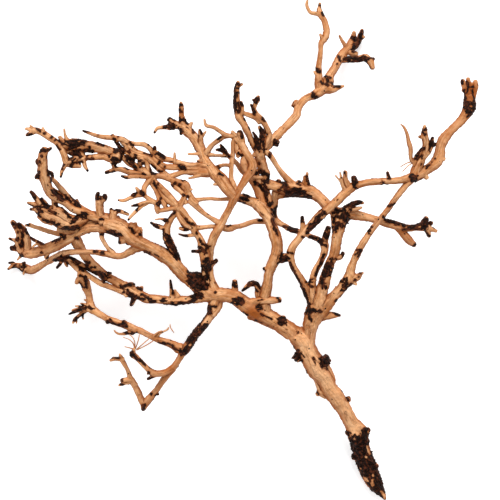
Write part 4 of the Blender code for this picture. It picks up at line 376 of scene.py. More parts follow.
        "arc limb": ((22, 101, 131, 13), (33, 97, 129, 16), (48, 93, 127, 18), (62, 92, 126, 22),
            (75, 91, 126, 21), (88, 88, 127, 20), (98, 83, 129, 18), (107, 76, 132, 17), (116, 67, 136, 17),
            (125, 60, 140, 17), (136, 53, 145, 18), (144, 49, 146, 11)),
        "arc spike": ((84, 94, 129, 13), (85, 102, 134, 8), (85, 109, 138, 5), (86, 116, 142, 3)),
        "arc pale spike": ((82, 97, 130, 9), (82, 105, 134, 4.5), (82, 111, 138, 3)),
        "arc knob a": ((42, 97, 129, 11), (43, 105, 132, 5)),
        "arc knob b": ((73, 96, 129, 12), (73, 103, 132, 6)),
        "descending twig": ((17, 150, 145, 10), (24, 147, 144, 9), (28, 144, 143, 8.5), (33, 138, 141, 8),
            (38, 130, 138, 7), (44, 121, 136, 7), (50, 113, 133, 8.5), (58, 105, 130, 10),
            (66, 97, 128, 11)),
        "cross strand": ((40, 93, 125, 11), (37, 80, 119, 10.5), (37.5, 69, 114, 8.5), (36, 58, 112, 7.5),
            (37, 50, 111, 7.5), (40, 43, 111, 8.5), (50, 37, 112, 8.5), (60, 31, 114, 8.5),
            (70, 28, 116, 8), (80, 25, 119, 7), (92, 20, 122, 7), (102, 16, 126, 7.5), (109, 11, 128, 9)),
    },
    "right_prongs": {
        "right stem": ((84, -152, 82, 24), (87.5, -140, 86, 19), (88.5, -128, 90, 18), (90.5, -115, 95, 21),
            (95, -101, 100, 25), (101, -88, 104, 27), (107, -78, 107, 20)),
        "stem spur": ((100, -100, 101, 19), (111, -99, 102, 13), (121, -98, 103, 10), (136, -98, 105, 2.5)),
        "left prong": ((97, -96, 102, 18), (93.5, -84, 105, 13), (88.5, -70, 110, 11.5),
            (84, -58, 116, 12.5), (79, -48, 121, 11.8), (71, -35, 127, 10), (65, -25, 131, 9.5),
            (62, -15, 135, 9.5), (61, -4, 139, 11.5), (65, 6, 143, 11), (72, 15, 147, 11.5),
            (80, 25, 151, 12), (90, 35, 155, 12.5), (100, 46, 159, 13.5), (110, 56, 163, 13.5),
            (120, 64, 166, 13), (129, 72, 169, 12.5), (137, 80, 171, 12.5), (144, 86.5, 172, 13),
            (151, 93, 173, 13.5), (158, 97, 173, 12.5), (168, 99.5, 173, 11), (180, 101.8, 172, 10.5),
            (195, 103, 171, 10), (210, 103.8, 169, 9.8), (225, 104.8, 167, 10), (237, 107.5, 165, 12.5),
            (247, 110, 163, 15), (260, 117, 161, 13.5), (270, 124, 159, 14.5), (279, 131, 157, 17),
            (284, 142, 155, 17), (286, 154, 153, 15), (290, 165, 151, 15), (298, 175, 149, 13),
            (307, 184, 147, 12), (316, 193, 145, 12), (323, 202, 144, 14), (329, 212, 143, 17),
            (330, 222, 142, 17), (329, 232, 142, 15)),
        "second prong": ((99, -88, 104, 16), (95.5, -76, 108, 13.5), (93.5, -65, 112, 12.5),
            (93, -52, 116, 11), (95.5, -38.5, 119, 9.5), (98.5, -30, 122, 9.5), (104.5, -20, 124, 9.8),
            (109, -10, 126, 9.8), (112, 0, 128, 10.2), (111.5, 8, 129, 12), (109, 15, 129, 9)),
        "second prong stub": ((110, 8, 129, 11), (114, 21, 133, 9.5), (118, 34, 138, 8)),
        "third prong": ((101, -94, 103, 24), (104, -78, 109, 21), (108, -62, 116, 18.5),
            (112, -48, 122, 17.5), (116, -32, 128, 16), (121, -18, 133, 15.5), (127, -5, 138, 16),
            (129, 8, 141, 17), (131, 22, 144, 17), (135, 38, 147, 18), (139, 52, 149, 20),
            (141, 60, 151, 15)),
        "third prong hook": ((126, -10, 137, 10), (135, -11, 141, 7.5), (140, -4, 145, 5)),
        "head finger high": ((140, 57, 150, 13), (148, 64.5, 155, 8.5), (154, 68.5, 158, 7.5),
            (163, 71.5, 160, 6), (170, 70.5, 162, 3.5)),
        "head finger low": ((140, 55, 149, 11), (152, 61, 153.5, 7.5), (161, 62, 156, 5.5),
            (168, 64, 158, 2.6)),
        "fourth prong": ((104, -94, 105, 20), (112, -84, 109, 19), (119, -77, 113, 16), (126, -69, 117, 14),
            (134, -61, 121, 14), (141, -52, 125, 15), (147, -45, 128, 17), (150, -38, 130, 15.5),
            (151, -30, 133, 12.5), (154, -21, 136, 10.8), (158.7, -10.2, 139, 10.5), (165, 2.4, 143, 9.8),
            (173.1, 15.9, 147, 9.5), (182.1, 29.4, 150, 9), (192.9, 42.9, 153, 9), (201.9, 54.6, 155, 8.6),
            (210, 65.4, 157, 8.6), (218.1, 77.1, 159, 8.6), (227.1, 88.8, 161, 8.8), (234.5, 98, 163, 9.5),
            (242, 106, 164, 11)),
        "fourth prong spur": ((147, -43, 128, 14), (158, -40, 131, 8.5), (170, -34, 134, 2.5)),
        "fourth prong flap": ((149, -44, 128, 12), (156, -49, 128, 6), (160, -52, 128, 3)),
    },
    "far_right_limbs": {
        "broken limb": ((134, 50, 148, 16), (150, 53, 145, 14), (165, 51, 141, 12.5), (180, 48, 138, 10),
            (190, 45, 136, 10.5), (205, 40.5, 133, 11.5), (220, 36.5, 130, 12), (235, 33, 127, 10.5),
            (250, 34, 124, 9.5), (262, 36, 122, 12.5), (268, 36, 121, 8)),
        "broken lobe up": ((260, 36, 122, 11), (263, 44, 125, 10), (265, 49, 127, 6)),
        "broken lobe right": ((264, 34, 121, 9), (272, 31, 119, 7), (280, 28, 117, 4)),
        "broken lobe down": ((263, 34, 121, 9), (267, 27, 118, 7.5), (269, 20, 116, 5)),
        "broken side limb": ((218, 37, 130, 10), (226, 29, 126, 9.5), (232, 22, 123, 10),
            (240, 13, 118, 11), (247, 7, 115, 7)),
        "long limb stub a": ((79, 24, 151, 9), (79, 38, 155, 6.5), (78, 50, 158, 4.5)),
        "long limb stub b": ((209, 105, 169, 7), (206, 117, 174, 4)),
        "long limb twig": ((145, 88, 173, 8), (139, 97, 178, 5), (137, 107, 183, 4), (135, 117, 187, 2)),
        "long limb twig fork": ((139, 99, 179, 4), (134, 105, 183, 2.4), (128, 112, 187, 1.6)),
        "long limb stub c": ((149, 94, 174, 9), (143, 106, 179, 7), (143, 118, 184, 5)),
        "long limb stub d": ((158, 96, 174, 11), (157, 103, 179, 9.5), (155, 109.5, 183, 7)),
        "long limb stub e": ((262, 112, 161, 10), (266, 107, 161, 5)),
        "long limb stub f": ((284, 138, 157, 13), (292, 136, 158, 6)),
        "fork limb": ((246, 109, 163, 14), (250, 122, 165, 13.5), (255, 132, 168, 12.5),
            (260, 142, 171, 10.5), (263, 152, 174, 9.5), (264, 162, 177, 9.5), (262, 172, 180, 9.5),
            (262, 180, 182, 7.5), (262, 187, 184, 3)),
        "fork limb spur": ((262, 169, 179, 7), (253, 170, 182, 3)),
        "fork dark strip": ((247, 128, 167, 7), (250, 139.5, 171, 7.5), (254.5, 146, 173.5, 6.5),
            (258.5, 151.5, 175, 6)),
        "fork dark prong": ((262, 141, 171, 9), (269, 149, 173, 7.5), (272, 157, 175, 7.5),
            (274, 169, 178, 3.5)),
        "fork dark prong tip": ((272, 156, 175, 6), (281, 160, 178, 3)),
        "fork thin twig": ((250, 129, 167, 7), (242, 134, 169, 4.5), (241, 142, 171, 5.5),
            (241, 152, 173, 6), (238, 163, 175, 5.5), (235.5, 174, 177, 4.5), (231, 184, 179, 3.4),
            (226, 189, 181, 1.6)),
        "end finger left": ((329, 226, 142, 13), (325, 239, 144, 9.5), (321, 248, 146, 9),
            (319, 255, 147, 6)),
        "end finger middle": ((329, 228, 142, 13), (328, 243, 143, 8.5), (327, 258, 144, 5)),
        "end finger right": ((331, 224, 142, 13), (336, 237, 141, 9), (338, 246, 141, 9.5),
            (338, 254, 141, 6)),
    },
    "top_right_limb": {
        "top right limb": ((13, 142, 144, 13), (18, 149, 143, 14), (25, 155, 141, 12.5),
            (33, 163, 138, 12.5), (42, 173, 133, 12), (52.5, 183.5, 127, 11.7), (63, 194, 121, 11.7),
            (70, 203, 116, 11.5), (72, 212.5, 111, 11.3), (77.5, 221, 106, 11.8), (85, 227.5, 99, 11),
            (98, 232.8, 91, 12.8), (107, 240, 84, 17), (116, 250, 75, 16), (120, 262, 64, 13),
            (126.5, 272, 54, 12.5), (132.5, 284, 40, 13), (138.5, 293, 29, 13.5), (144.5, 299.5, 18, 13),
            (150.5, 307, 8, 11.5), (153.5, 314, 4.3, 11), (155, 320, 6, 9), (156, 327, 9, 5)),
        "top right spur": ((104, 240, 84, 14), (114, 241, 81, 14), (123, 241, 79, 12), (134, 244, 78, 6),
            (141, 246, 78, 2.5)),
        "top right fork": ((105, 240, 84, 15), (103, 254, 84, 12.5), (103, 265, 83, 9.5), (103, 276, 82, 8),
            (105, 288, 81, 7.5), (106, 300, 80, 7.5), (107, 310, 79, 8), (112, 318, 78, 10),
            (115, 326, 77, 9.5), (114, 335, 76, 8.5), (111, 345, 75, 8), (106, 353, 74, 8.5),
            (104, 360, 73, 6.5), (105, 371, 71, 2.5)),
        "top right fork arm": ((107, 352, 74, 7), (97, 355, 76, 6), (91, 356, 78, 5.5), (87.5, 361, 79, 5),
            (85, 368, 80, 4.5), (86.5, 375, 81, 2.5)),
        "top right fork stub": ((110, 315, 79, 7), (105, 324, 81, 3.5)),
        "top right fork spur": ((103, 259, 84, 7), (96, 268, 86, 2.6)),
        "floor spike": ((146, 301, 17, 8), (142, 308, 21, 5.5), (138, 314, 25, 4.5), (134, 322, 29, 2.5)),
        "floor dark finger": ((149, 302, 15, 11), (156, 304, 13, 9), (161, 311, 12, 8.5), (166, 322, 14, 8),
            (168.5, 331, 16, 3.5)),
        "floor dark finger tip": ((165, 317, 13, 6), (172, 320, 16, 3)),
        "floor arm": ((132, 288, 33, 13), (143, 286, 35, 9.5), (152, 286, 36, 9), (163, 286.5, 38, 9.5),
            (173, 288, 40, 10.5), (180, 283, 42, 9.5), (184, 272, 44, 6)),
        "floor arm tip": ((177, 285, 41, 8), (186.5, 287, 44, 3)),
        "floor arm spike": ((171, 287, 40, 7), (172, 293.5, 42, 3)),
    },
}

# Round knots and burls: x, y as seen, height of the middle and thickness, in mm.
KNOTS = (
    (72, -160, 80, 15), (111.5, -166.5, 79, 17.5), (147.5, -223, 56, 7.5), (157, -310.5, 21, 9.5),
    (188, -324.5, 17, 9.5), (174.5, -272, 39, 10), (147.5, -275, 39, 8), (48, -106, 98, 14),
    (-175, 34, 130, 14), (-168, 29, 131, 12), (-212, -37, 79, 9), (271, 40, 121, 7), (-78, -47, 108, 28),
    (-222, 45, 124, 12), (-168, 24, 131, 14), (-202, 141, 156, 22), (-182, 139, 155, 13),
    (-163, 133, 155, 12), (-340, -25, 7, 9), (-241, -87, 51, 12), (-189, -110, 66, 9), (-212, -106, 58, 9),
    (-186, -53, 82, 12), (-185, -65, 84, 11), (-166, -59, 88, 10), (245, 109, 167, 12), (38.5, 161, 137, 10),
    (67.5, 219, 109, 10), (99, 234, 91, 11), (114, 255, 74, 12), (-16, 145, 160, 10), (-275, 79, 125, 11),
    (-262, 71, 121, 11), (-318, 132, 168, 8), (-319, 110, 160, 8), (-118, 186, 133, 12),
)

# Bark that has stayed on, as seen: a dot's x and y, or a stroke's two ends, and half the width, in mm.
BARK = (
    # curved hand at the left
    (-356,46,-345,38,2), (-355,40,-341,33,3.2), (-339,30,-335,28,4.2), (-341,25,-342,20,2),
    (-342,13,-343,6,3), (-352,34,2), (-348,27,2.2), (-349,16,2.8), (-360,18,-357,12,1.8), (-357,4,6),
    (-344,-7,4.2), (-358,-1,3), (-329,19,-324,15,1.8), (-317,13,-310,8,2.3), (-296,13,-285,16,2.3),
    (-313,-3,1.8), (-303,-11,2.6), (-333,38,2.3), (-283,22,-278,19,3.2),
    # paddle, with the burl and the main limb
    (-333,84,2.3), (-327,88,-322,78,3.2), (-329,75,2.2), (-313,77,-311,73,3.6), (-311,71,-302,65,2.6),
    (-327,65,-303,65,2), (-333,69,-325,66,1.6), (-329,61,2.6), (-318,61,-313,58,2.8), (-323,55,-314,51,2.3),
    (-300,58,-292,55,2.3), (-297,63,1.8), (-284,66,-272,51,1.5), (-273,50,-269,48,1.7),
    (-310,44,-294,41,2.8), (-288,39,2.4), (-288,31,-273,32,3.6), (-268,162,-250,160,3.4),
    (-267,144,-257,143,5), (-86,-42,-72,-50,8.5), (12,-84,3), (15,-95,32,-103,1.5), (-267,41,-257,51,3.8),
    (-270,31,-258,33,3.6), (-310,38,-303,36,2),
    # upper strand
    (-296,87,-283,78,3.8), (-276,78,3.8), (-271,83,-262,74,1.8), (-262,74,-256,64,2.3), (-269,72,2.3),
    (-316,103,1.7), (-297,112,-298,103,2.2), (-293,70,-288,66,2), (-302,119,-302,114,3),
    (-302,115,-295,114,2.4), (-313,149,3.3), (-308,149,-304,151,2.2), (-313,141,2.4),
    (-301,150,-298,153,1.6), (-304,140,-302.5,136,1.9), (-319,131,1.7), (-316.5,127,2),
    (-317,117,-316,112,2.1), (-319.5,110,2),
    # upper hand
    (-335,176,-329,173,2), (-335,171,-329,172,1.8), (-321,182,-315,179,1.6), (-308,175,1.9),
    (-297,169.5,2.5), (-292,165,1.6), (-290,157,-286,151,1.5), (-287,164,-280,158,1.8),
    (-279,158,-270,157,2), (-276,163,-267,163,1.9), (-271,160,-262,158,4.2), (-266,157,-250,163,3.8),
    (-266,163,-252,165,2.4), (-272,152,-264,155,2.3), (-265,146,-258,148,4), (-270,140,-262,138,3.6),
    (-272,136,1.9), (-246,146,-238,148,3.6), (-240,153,2.8), (-248,150,-240,152,1.9), (-244,142,2.4),
    (-229,160,-221,157,2.3), (-246,137,-235,136.5,1.7), (-260,130,-252,132,1.9), (-269,126,-265,129,1.9),
    (-244,119,2.4), (-279,128,-282,121,2), (-283,109,2.8), (-281,114,1.7),
    # bundle
    (-209,156,-203,156,3.2), (-203,151,3), (-203,146,2.5), (-211,140,2.4), (-206,135,-195,134,3.4),
    (-204,130,-199,127,3.4), (-193,145,-193,137,2.2), (-251,178,-240,177,1.7), (-228,173,1.8), (-207,173,2),
    (-204,167,-202,162,2), (-203,163,-190,150,1.7), (-198,170,1.6), (-196,160,-189,150,2.6),
    (-200,150,-190,147,2.3), (-198,155,-193,149,1.8), (-190,155,1.8), (-185,140,-180,136,3.8),
    (-178,138,-172,137,2.8), (-177,130,-174,127,3.3), (-182,147,2.6), (-172,143,1.9),
    (-180,161,-176,158,1.8), (-169,152,1.6), (-165,134,-160,130,2.4), (-164,125,2.1), (-169,129,1.8),
    (-171,120,2.1), (-160,115,-158,113,1.9), (-152,158,1.7), (-158,145,-147,142,1.6), (-143,153,2.2),
    (-138,145,-129,139,3.3), (-136,133,-138,129,1.7), (-147,127,-143,122,2.3), (-149,121,-148,118,2.3),
    (-147,114,-142,115,1.9), (-138,119,-132,118,1.8), (-128,125,2.1), (-106,125,-97,122,2.8),
    (-215,115,2.8), (-212,117,-203,117,1.8), (-194,111,-186,108,1.7), (-188,124,-184,121,1.9),
    # upper left limb, start
    (-124,196,-121,190,2.4), (-120,187,-118,182,4.2), (-122,186,-128,185,1.7), (-143,177,1.7),
    (-106,182,-103,178,2.8), (-105,175,-103,172,1.9), (-107,196,-100,196,2.8),
    # stub, shoulder and bridge at the left
    (-232,77,-222,78,2.3), (-227,83,3.3), (-218,80,4), (-224,46,-220,45.5,1.9), (-211,56,1.9),
    (-207,62,-195,58,2.4), (-199,57,1.8), (-251,53,-247,53,3), (-250,49,-247,50,3.6), (-294,88,-281,77,3.4),
    (-214,28,-198,23,3), (-198,22,-195,22,3.3), (-196,19,-196,10,1.6), (-179,40,-172,38,2.3),
    (-170,36,-166,30,1.8), (-182,33,1.9), (-177,30,-174,26,2.4), (-164,23,2.4), (-223,24,-217,24,1.8),
    (-233,-2,-228,-3,1.8), (-224,-4,-220,-5,2.3), (-158,-2,-150,-5,1.9), (-265,76,-260,68,2.3),
    (-259,66,1.9), (-262,18,-258,17,1.8), (-364,-29,1.9), (-361,-19,-355,-18,2.3), (-353,-23,2.2),
    (-355,-26,-350,-27,1.8), (-347,-28,-341,-31,2.8), (-341,-25,-338,-25,1.9), (-341,-19,-338,-20,1.7),
    # fan, left
    (-198,75,1.8), (-175,83,-172,84,2.7), (-163,88,-160,83,2.8), (-178,66,-168,68,1.8),
    (-168,64,-170,60,1.8), (-182,45,1.9),
    # under limb
    (-292,-16,-285,-13,2.8), (-285,-14,-278,-12,4.6), (-276,-17,-272,-22,2.3), (-290,-26,-285,-21,2.3),
    (-270,-10,-258,-19,3), (-248,-17,-242,-21,2.3), (-237,-25,-233,-26,1.9), (-255,-26,-240,-32,2.3),
    (-248,-21,-243,-29,1.7), (-240,-32,-232,-34,1.7), (-229,-34,-222,-37,3.2), (-222,-38,-213,-38,3.8),
    (-220,-40,-219,-46,3.2), (-255,-29,-250,-31,1.7), (-247,-41,-246,-55,2.8), (-254,-38,-248,-42,1.7),
    (-255,-50,-252,-55,1.9), (-194,-53,-190,-56,2.3), (-188,-54,-185,-53,2.3), (-182,-52,-175,-52.5,2.4),
    (-168,-57,-164,-59,2.6), (-189,-62,1.9), (-184,-61,-184,-66,2.2), (-180,-65,-175,-67,2.3),
    (-181,-69,-165,-70,2.2), (-176,-70,-176,-76,3.3), (-176,-76,-179,-82,2.7), (-170,-72,2.3),
    (-164,-68,-161,-67,1.8), (-165,-72,-157,-74,2.3), (-158,-69,-150,-75,2.8), (-150,-77,-142,-77,2.3),
    (-87,-80,-130,-82,2.8), (-87,-76,-75,-68,5), (-130,-75,4.5),
    # falling limb
    (-240,-86.5,2.8), (-211,-106,3.2), (-208,-109,-185,-115,1.7), (-189,-108,-186,-113,3),
    (-188,-122,-184,-125,2.3), (-180,-125,-171,-125,2.2), (-170,-123,1.9), (-255,-86,-248,-87,2.2),
    (-246,-86,-270,-95,2.3), (-248,-96,-264,-106,2.3), (-250,-82,-256,-80,1.8), (-121,-118,-119,-121,1.6),
    (-137,-138,-115,-143,1.8), (-115,-145,-109,-149,1.8),
    # V limbs
    (-62,-84,-53,-85,1.9), (-61,-88,-60,-94,3.3), (-64,-92,-72,-108,1.8), (-67,-115,-97,-151,6),
    (-76,-110,-93,-138,3.8), (-105,-150,-100,-156,2.8), (-180,-153,-178,-160,2.4),
    (-176,-152,-174,-158,1.9), (-174,-158,-166,-166,2.9), (-163,-166,-157,-173,1.6), (-152,-184,2.2),
    (-152,-193,-147,-192,2.1), (-209,-162,-196,-162,1.6), (-192,-195,2.7), (-195,-201,-190,-202,1.9),
    (-148,-216,1.7), (-142,-218,-138,-216,1.6), (-159,-233,-160,-238,3.2), (-119,-46,-118,-56,1.9),
    (-117,-56,-116,-66,1.7),
    # fan
    (-137,68,-136,72,2.9), (-134,77,1.9), (-143,85,1.6), (-123,67,2.4), (-113,57,-122,49,1.9),
    (-125,44,3.3), (-149,41,-138,34,2.4), (-130,31,-130,15,1.6), (-128,13,-118,-6,2), (-124,18,-109,-9,6),
    (-104,36,-93,30,2.8), (-107,23,-95,21,1.6), (-99,82,-93,80,2.3), (-96,47,2.1), (-145,104,-140,93,1.6),
    (-138,98,2.3), (-105,98,2.3), (-116,98,-113,101,2.3), (-99,105,2.8),
    # upper left limb
    (-106,218,-101,218,2.5), (-106,210,-105,207,1.8), (-103,195,-96,195,2.6), (-96,196,-94,190,2),
    (-105,199,1.5), (-124,197,-119,199,1.8), (-119,199,-113,194,1.7), (-122,188,-118,182,4),
    (-118,188,-114,184,2.5), (-128,185,-124,185,2.2), (-108,182,-103,180,2), (-86,181,-85,176,1.6),
    (-75,180,-72,175,1.8), (-46,171,-45,168,2.7), (-49,152,-44,150,1.9), (-42,157,-40,149,3), (-46,150,2.4),
    (-40,152,-37,147,2.5), (-36,147,-31,140,2.2), (-48,126,-46,121,1.8), (-46,114,-41,111,1.6),
    (-78,133,1.6),
    # centre
    (-17,74,-13,80,2.5), (-12,85,-2,80,2.4), (-13,78,-6,76,4), (-16,72,-8,71,1.6), (14,97,22,88,2.2),
    (18,92,26,84,3), (24,84,25,74,2.2), (26,68,32,70,2.4), (28,66,31,68,2), (33,60,36,50,2.5),
    (34,46,36,38,2.8), (8,98,2), (13,44,19,43,1.5), (-34,36,-29,37,1.5), (-93,42,-83,37,1.8), (-80,25,1.8),
    (-76,15,-73,12,2.4), (-76,4,-72,2,3), (-72,10,-66,6,2), (-66,5,-60,6,1.7), (-66,3,-68,-6,2),
    (-71,-1,-66,-4,2.3), (-88,-1,-74,-2,1.9), (-70,-17,1.9), (-65,-12,-64,-32,2.5), (-61,-18,-60,-30,2),
    (-58,-18,-50,-15,1.9), (-58,-21,-50,-17,1.5), (-72,-24,-72,-33,1.7), (-69,-22,-65,-35,1.6),
    (-63,-36,-60,-45,1.5), (-92,-33,-74,-36,3), (-90,-42,-66,-42,4.6), (-90,-50,-65,-52,4.6),
    (-86,-56,-66,-57,3.6), (-82,-61,-75,-60,2.2), (-52,-64,1.9), (-85,-66,-78,-70,3), (-26,-48,-20,-49,2),
    (-27,-53,-20,-54,2.2), (-24,-50,3), (-11,-60,-7,-59,2), (-10,-60,-2,-55,1.8), (-4,-48,4,-47,1.5),
    (-2,-52,10,-50,2.7), (8,-50,14,-56,2.4), (4,-57,8,-63,1.9), (8,-58,11,-62,1.7),
    # top
    (-21,247,-22,226,2.7), (-22,226,-22,206,2.4), (-18,222,-16,210,1.6), (-24,246,-18,250,2.2),
    (-19,250,-16,248,2), (-21,243,-17,242,2), (-22,238,-17,236,1.5), (-24,230,-24,214,1.6),
    (-16,212,-17,206,1.7), (-20,210,-16,208,2.1), (-15,222,-12,216,1.6), (-13,220,-9,216,1.5), (-8,197,2.2),
    (-2,184,1,181,1.6), (5,176,12,166,1.7), (12,165,13,150,2.2), (16,165,15,152,2), (9,158,7,153,1.7),
    (14,148,1.6), (13,186,20,182,1.7), (18,184,22,176,2.2), (15,171,2.2), (26,174,1.9), (18,198,22,193,1.7),
    (4,222,12,228,2.2), (10,227,13,226,2.5), (8,222,2.4), (4,225,4,214,1.6), (37,162,43,158,3),
    (41,164,43,161,1.8), (31,146,28,138,2.1), (8,118,10,114,2.3), (16,118,25,113,3), (21,118,2),
    (28,113,27,105,2.2), (17,115,1.9), (20,104,27,102,2.4), (8,101,10,99,2.8), (44,103,48,101,2.8),
    (74,103,1.9), (-17,145,-13,143,2.2), (-19,178,-14,177,1.6), (-14,177,-12,168,2.2),
    # top right limb
    (66,222,70,222,1.6), (95,235,99,229,2.9), (94,232,97,231,2.4), (105,252,109,250,2),
    (113,248,117,247,1.9), (114,261,119,258,2), (116,257,118,253,2.7), (117,253,120,251,2.1),
    (112,262,114,260,1.5), (101,271,105,268,2.4), (102,268,104,267,2.3), (122,250,127,247,1.8),
    (126,246,134,244,2.1), (133,290,135,284,1.9), (131,279,1.5), (142,287,150,286,2.5), (148,287,172,287,4),
    (150,284,170,284,3), (170,290,174,284,2.4), (172,284,178,274,2.5), (176,288,185,288,1.5),
    (178,276,180,272,1.9), (153,297,158,298,1.5), (153,300,158,308,2.9), (156,303,163,312,3.2),
    (160,308,166,318,3.1), (163,316,168,324,2.5), (166,322,168,328,2.3), (154,318,158,314,2.8),
    (156,317,160,319,1.5),
    # middle right
    (22,103,21,95,2.4), (20,98,24,90,2.7), (22,90,24,82,2.8), (30,70,33,69,1.7), (41,103,47,103,1.9),
    (48,102,54,98,3), (51,100,54,94,3.8), (47,93,1.7), (45,90,55,90,2.9), (50,94,56,88,3.4),
    (55,90,72,90,3.2), (57,84,82,84,3.9), (52,80,90,79,2.1), (60,87,80,86,3.4), (80,86,90,80,2.4),
    (82,80,92,78,1.7), (70,92,72,88,1.9), (76,92,2.2), (71,99,75,97,1.5), (74,102,1.8), (85,110,86,103,2.1),
    (87,105,89,98,1.9), (36,62,40,65,1.7), (36,58,38,50,2.5), (38,62,42,66,1.5), (34,46,37,36,2.4),
    (35,38,39,30,2.5), (38,32,42,22,2.1), (50,35,60,34,1.5), (58,31,70,30,2.7), (60,28,72,27,1.9),
    (76,50,78,42,1.9), (78,51,81,47,1.7), (77,44,80,42,1.7), (86,28,95,38,3.4), (88,30,100,36,2.1),
    (92,37,100,44,2.9), (97,36,106,46,1.5), (100,47,110,58,2.7), (96,42,106,52,1.7), (108,56,114,54,1.5),
    (78,20,82,18,1.5), (82,14,84,18,1.7), (90,20,100,17,1.9), (102,13,108,12,2.4), (104,15,112,13,1.7),
    (108,10,1.9), (115,33,119,32,2.1), (113,24,119,25,2.5), (112,22,118,21,2.3), (114,17,117,18,1.9),
    (116,30,119,22,2.5), (124,55,127,56,1.7), (128,62,132,56,2.4), (130,50,140,48,2.9), (134,58,142,60,2.8),
    (138,52,144,44,3.9), (126,48,128,40,2.9), (126,42,136,38,3.4), (126,34,132,32,2.9), (136,40,139,36,2.9),
    (128,30,130,28,1.9), (142,56,148,52,2.4), (140,62,148,66,1.9), (128,36,124,26,1.5),
    # far right
    (142,116,144,111,1.9), (153,110,158,110,1.5), (153,107,154,104,1.7), (158,108,160,102,1.9),
    (154,104,158,99,2.1), (155,100,156,94,2.2), (156,94,160,92,2.1), (207,107,210,107,1.5),
    (206,115,208,110,1.5), (246,110,250,106,1.7), (241,109,243,103,1.7), (245,106,248,103,1.7),
    (208,66,214,68,2.1), (210,65,216,70,1.5), (150,68,156,66,2.9), (152,71,167,72,2.5), (156,69,164,69,1.7),
    (141,66,150,66,1.9), (148,63,152,60,1.7), (136,50,144,46,3.9), (144,50,148,45,2.9), (180,38,183,34,1.7),
    (178,32,181,28,1.9), (177,29,1.7), (180,24,1.6), (200,49,207,48,1.7), (202,47,230,38,2.5),
    (205,43,232,37,1.9), (212,46,222,42,1.5), (230,36,248,36,1.9), (228,31,245,32,1.7), (236,34,250,34,1.7),
    (246,36,258,38,2.3), (246,32,258,32,1.7), (252,40,258,44,2.5), (256,44,262,46,2.1), (258,40,268,40,3.4),
    (262,47,268,44,2.7), (268,42,272,40,1.9), (258,34,266,36,2.5), (262,30,266,24,1.5), (264,22,270,20,1.7),
    (243,5,248,9,1.5),
    # far right upper
    (318,256,319,249,1.5), (325,252,327,244,2.1), (323,220,337,218,2.9), (323,214,336,212,3.4),
    (325,208,335,207,2.9), (322,222,330,222,1.5), (336,222,1.7), (325,200,331,204,1.7),
    (268,166,276,168,1.9), (270,164,277,162,2.5), (270,160,277,156,2.9), (270,156,269,148,1.9),
    (259,177,262,174,2.1), (256,150,260,152,2.3), (249,146,253,145,1.7), (249,142,254,140,2.4),
    (248,137,251,136,1.9),
    # trunk
    (-27,-79,-20,-81,1.9), (-24,-76,-12,-76,3.5), (-18,-80,-12,-82,2.5), (-17,-71,-11,-73,1.5),
    (-12,-72,-10,-80,1.9), (-22,-77,-14,-79,2.9), (42,-72,45,-76,2.2), (43,-75,2.3), (11,-90,18,-87,1.9),
    (13,-92,1.7), (14,-87,17,-85,1.7), (-10,-94,-4,-97,1.5), (8,-105,18,-110,1.5), (49,-106,4.7),
    (72,-124,1.7), (70,-151,73,-150,2.2), (70,-156,75,-158,3.9), (69,-162,76,-163,3.9),
    (74,-166,78,-166,2.3), (105,-163,108,-168,2.9), (109,-161,118,-163,2.2), (112,-165,118,-167,2.7),
    (108,-175,2.5), (116,-179,1.5), (100,-212,102,-216,1.7),
    # right prongs, with the far right end, the top, the fork and the dark spikes
    (318,252,2.6), (321,240,324,223,1.5), (327,250,326,237,1.5), (333,240,336,222,1.7), (342,248,1.5),
    (334,245,2), (262,180,3.2), (255,170,1.6), (277,137,1.8), (17,184,20,158,3.2), (6,172,12,152,2.6),
    (25,174,2), (21,150,3), (-2,208,1.5), (3,218,7,203,2), (14,130,1.9), (184,273,1.8), (186,286,1.6),
    (105,367,1.5), (108,356,110,352,1.6), (116,316,1.5), (63,216,68,223,2.4), (20,-25,22,-31,1.6),
    (166,-34,2.2), (163,-40,1.6), (157,-45,2.2), (120,-21,117,-35,3.8), (110,-34,108,-56,2.5),
    (114,-28,112,-38,2.6), (45,-8,50,-6,2), (46,-12,54,-12,4.3), (46,-17,54,-16,2.9), (42,-20,48,-19,2),
    (52,-3,64,-5,1.5), (81,13,84,17,1.7), (60,-18,66,-32,1.7), (66,-32,76,-50,1.9), (75,-50,84,-68,2.1),
    (83,-68,88,-84,3), (88,-80,89,-98,3), (84,-48,94,-48,1.5), (88,-46,96,-43,1.7), (88,-52,94,-55,1.9),
    (110,-7,107,-18,2.3), (108,-12,3.5), (107,-18,103,-25,1.9), (103,-25,98,-38,1.5), (104,17,113,14,1.7),
    (105,12,109,14,2.3), (107,9,114,7,1.9), (88,18,100,17,1.6), (120,-14,129,-13,1.6),
    (122,-17,124,-12,1.7), (113,-22,123,-20,1.9), (112,-26,122,-27,2.7), (116,-29,122,-34,2.7),
    (110,-31,109,-37,1.7), (108,-38,120,-38,1.7), (107,-42,110,-44,2.4), (107,-50,112,-48,2.4),
    (109,-52,114,-56,2.2), (138,-2,141,-1,1.7), (138,-5,140,-8,2.5), (161,0,166,-1,2.1),
    (162,-4,158,-7,1.5), (164,-4,162,-10,1.7), (138,-47,144,-50,2.5), (140,-52,150,-51,2.5),
    (142,-57,152,-55,2.9), (138,-60,146,-59,2.1), (141,-44,143,-46,1.9), (127,-76,130,-75,1.7),
    (92,-90,104,-92,2.9), (124,-93,134,-98,1.9), (128,-96,132,-98,1.9), (88,-100,92,-105,1.9),
    # butt
    (160,-290,196,-362,13.5), (172,-275,172,-292,7), (172,-269,3.2), (154,-300,155,-312,3),
)
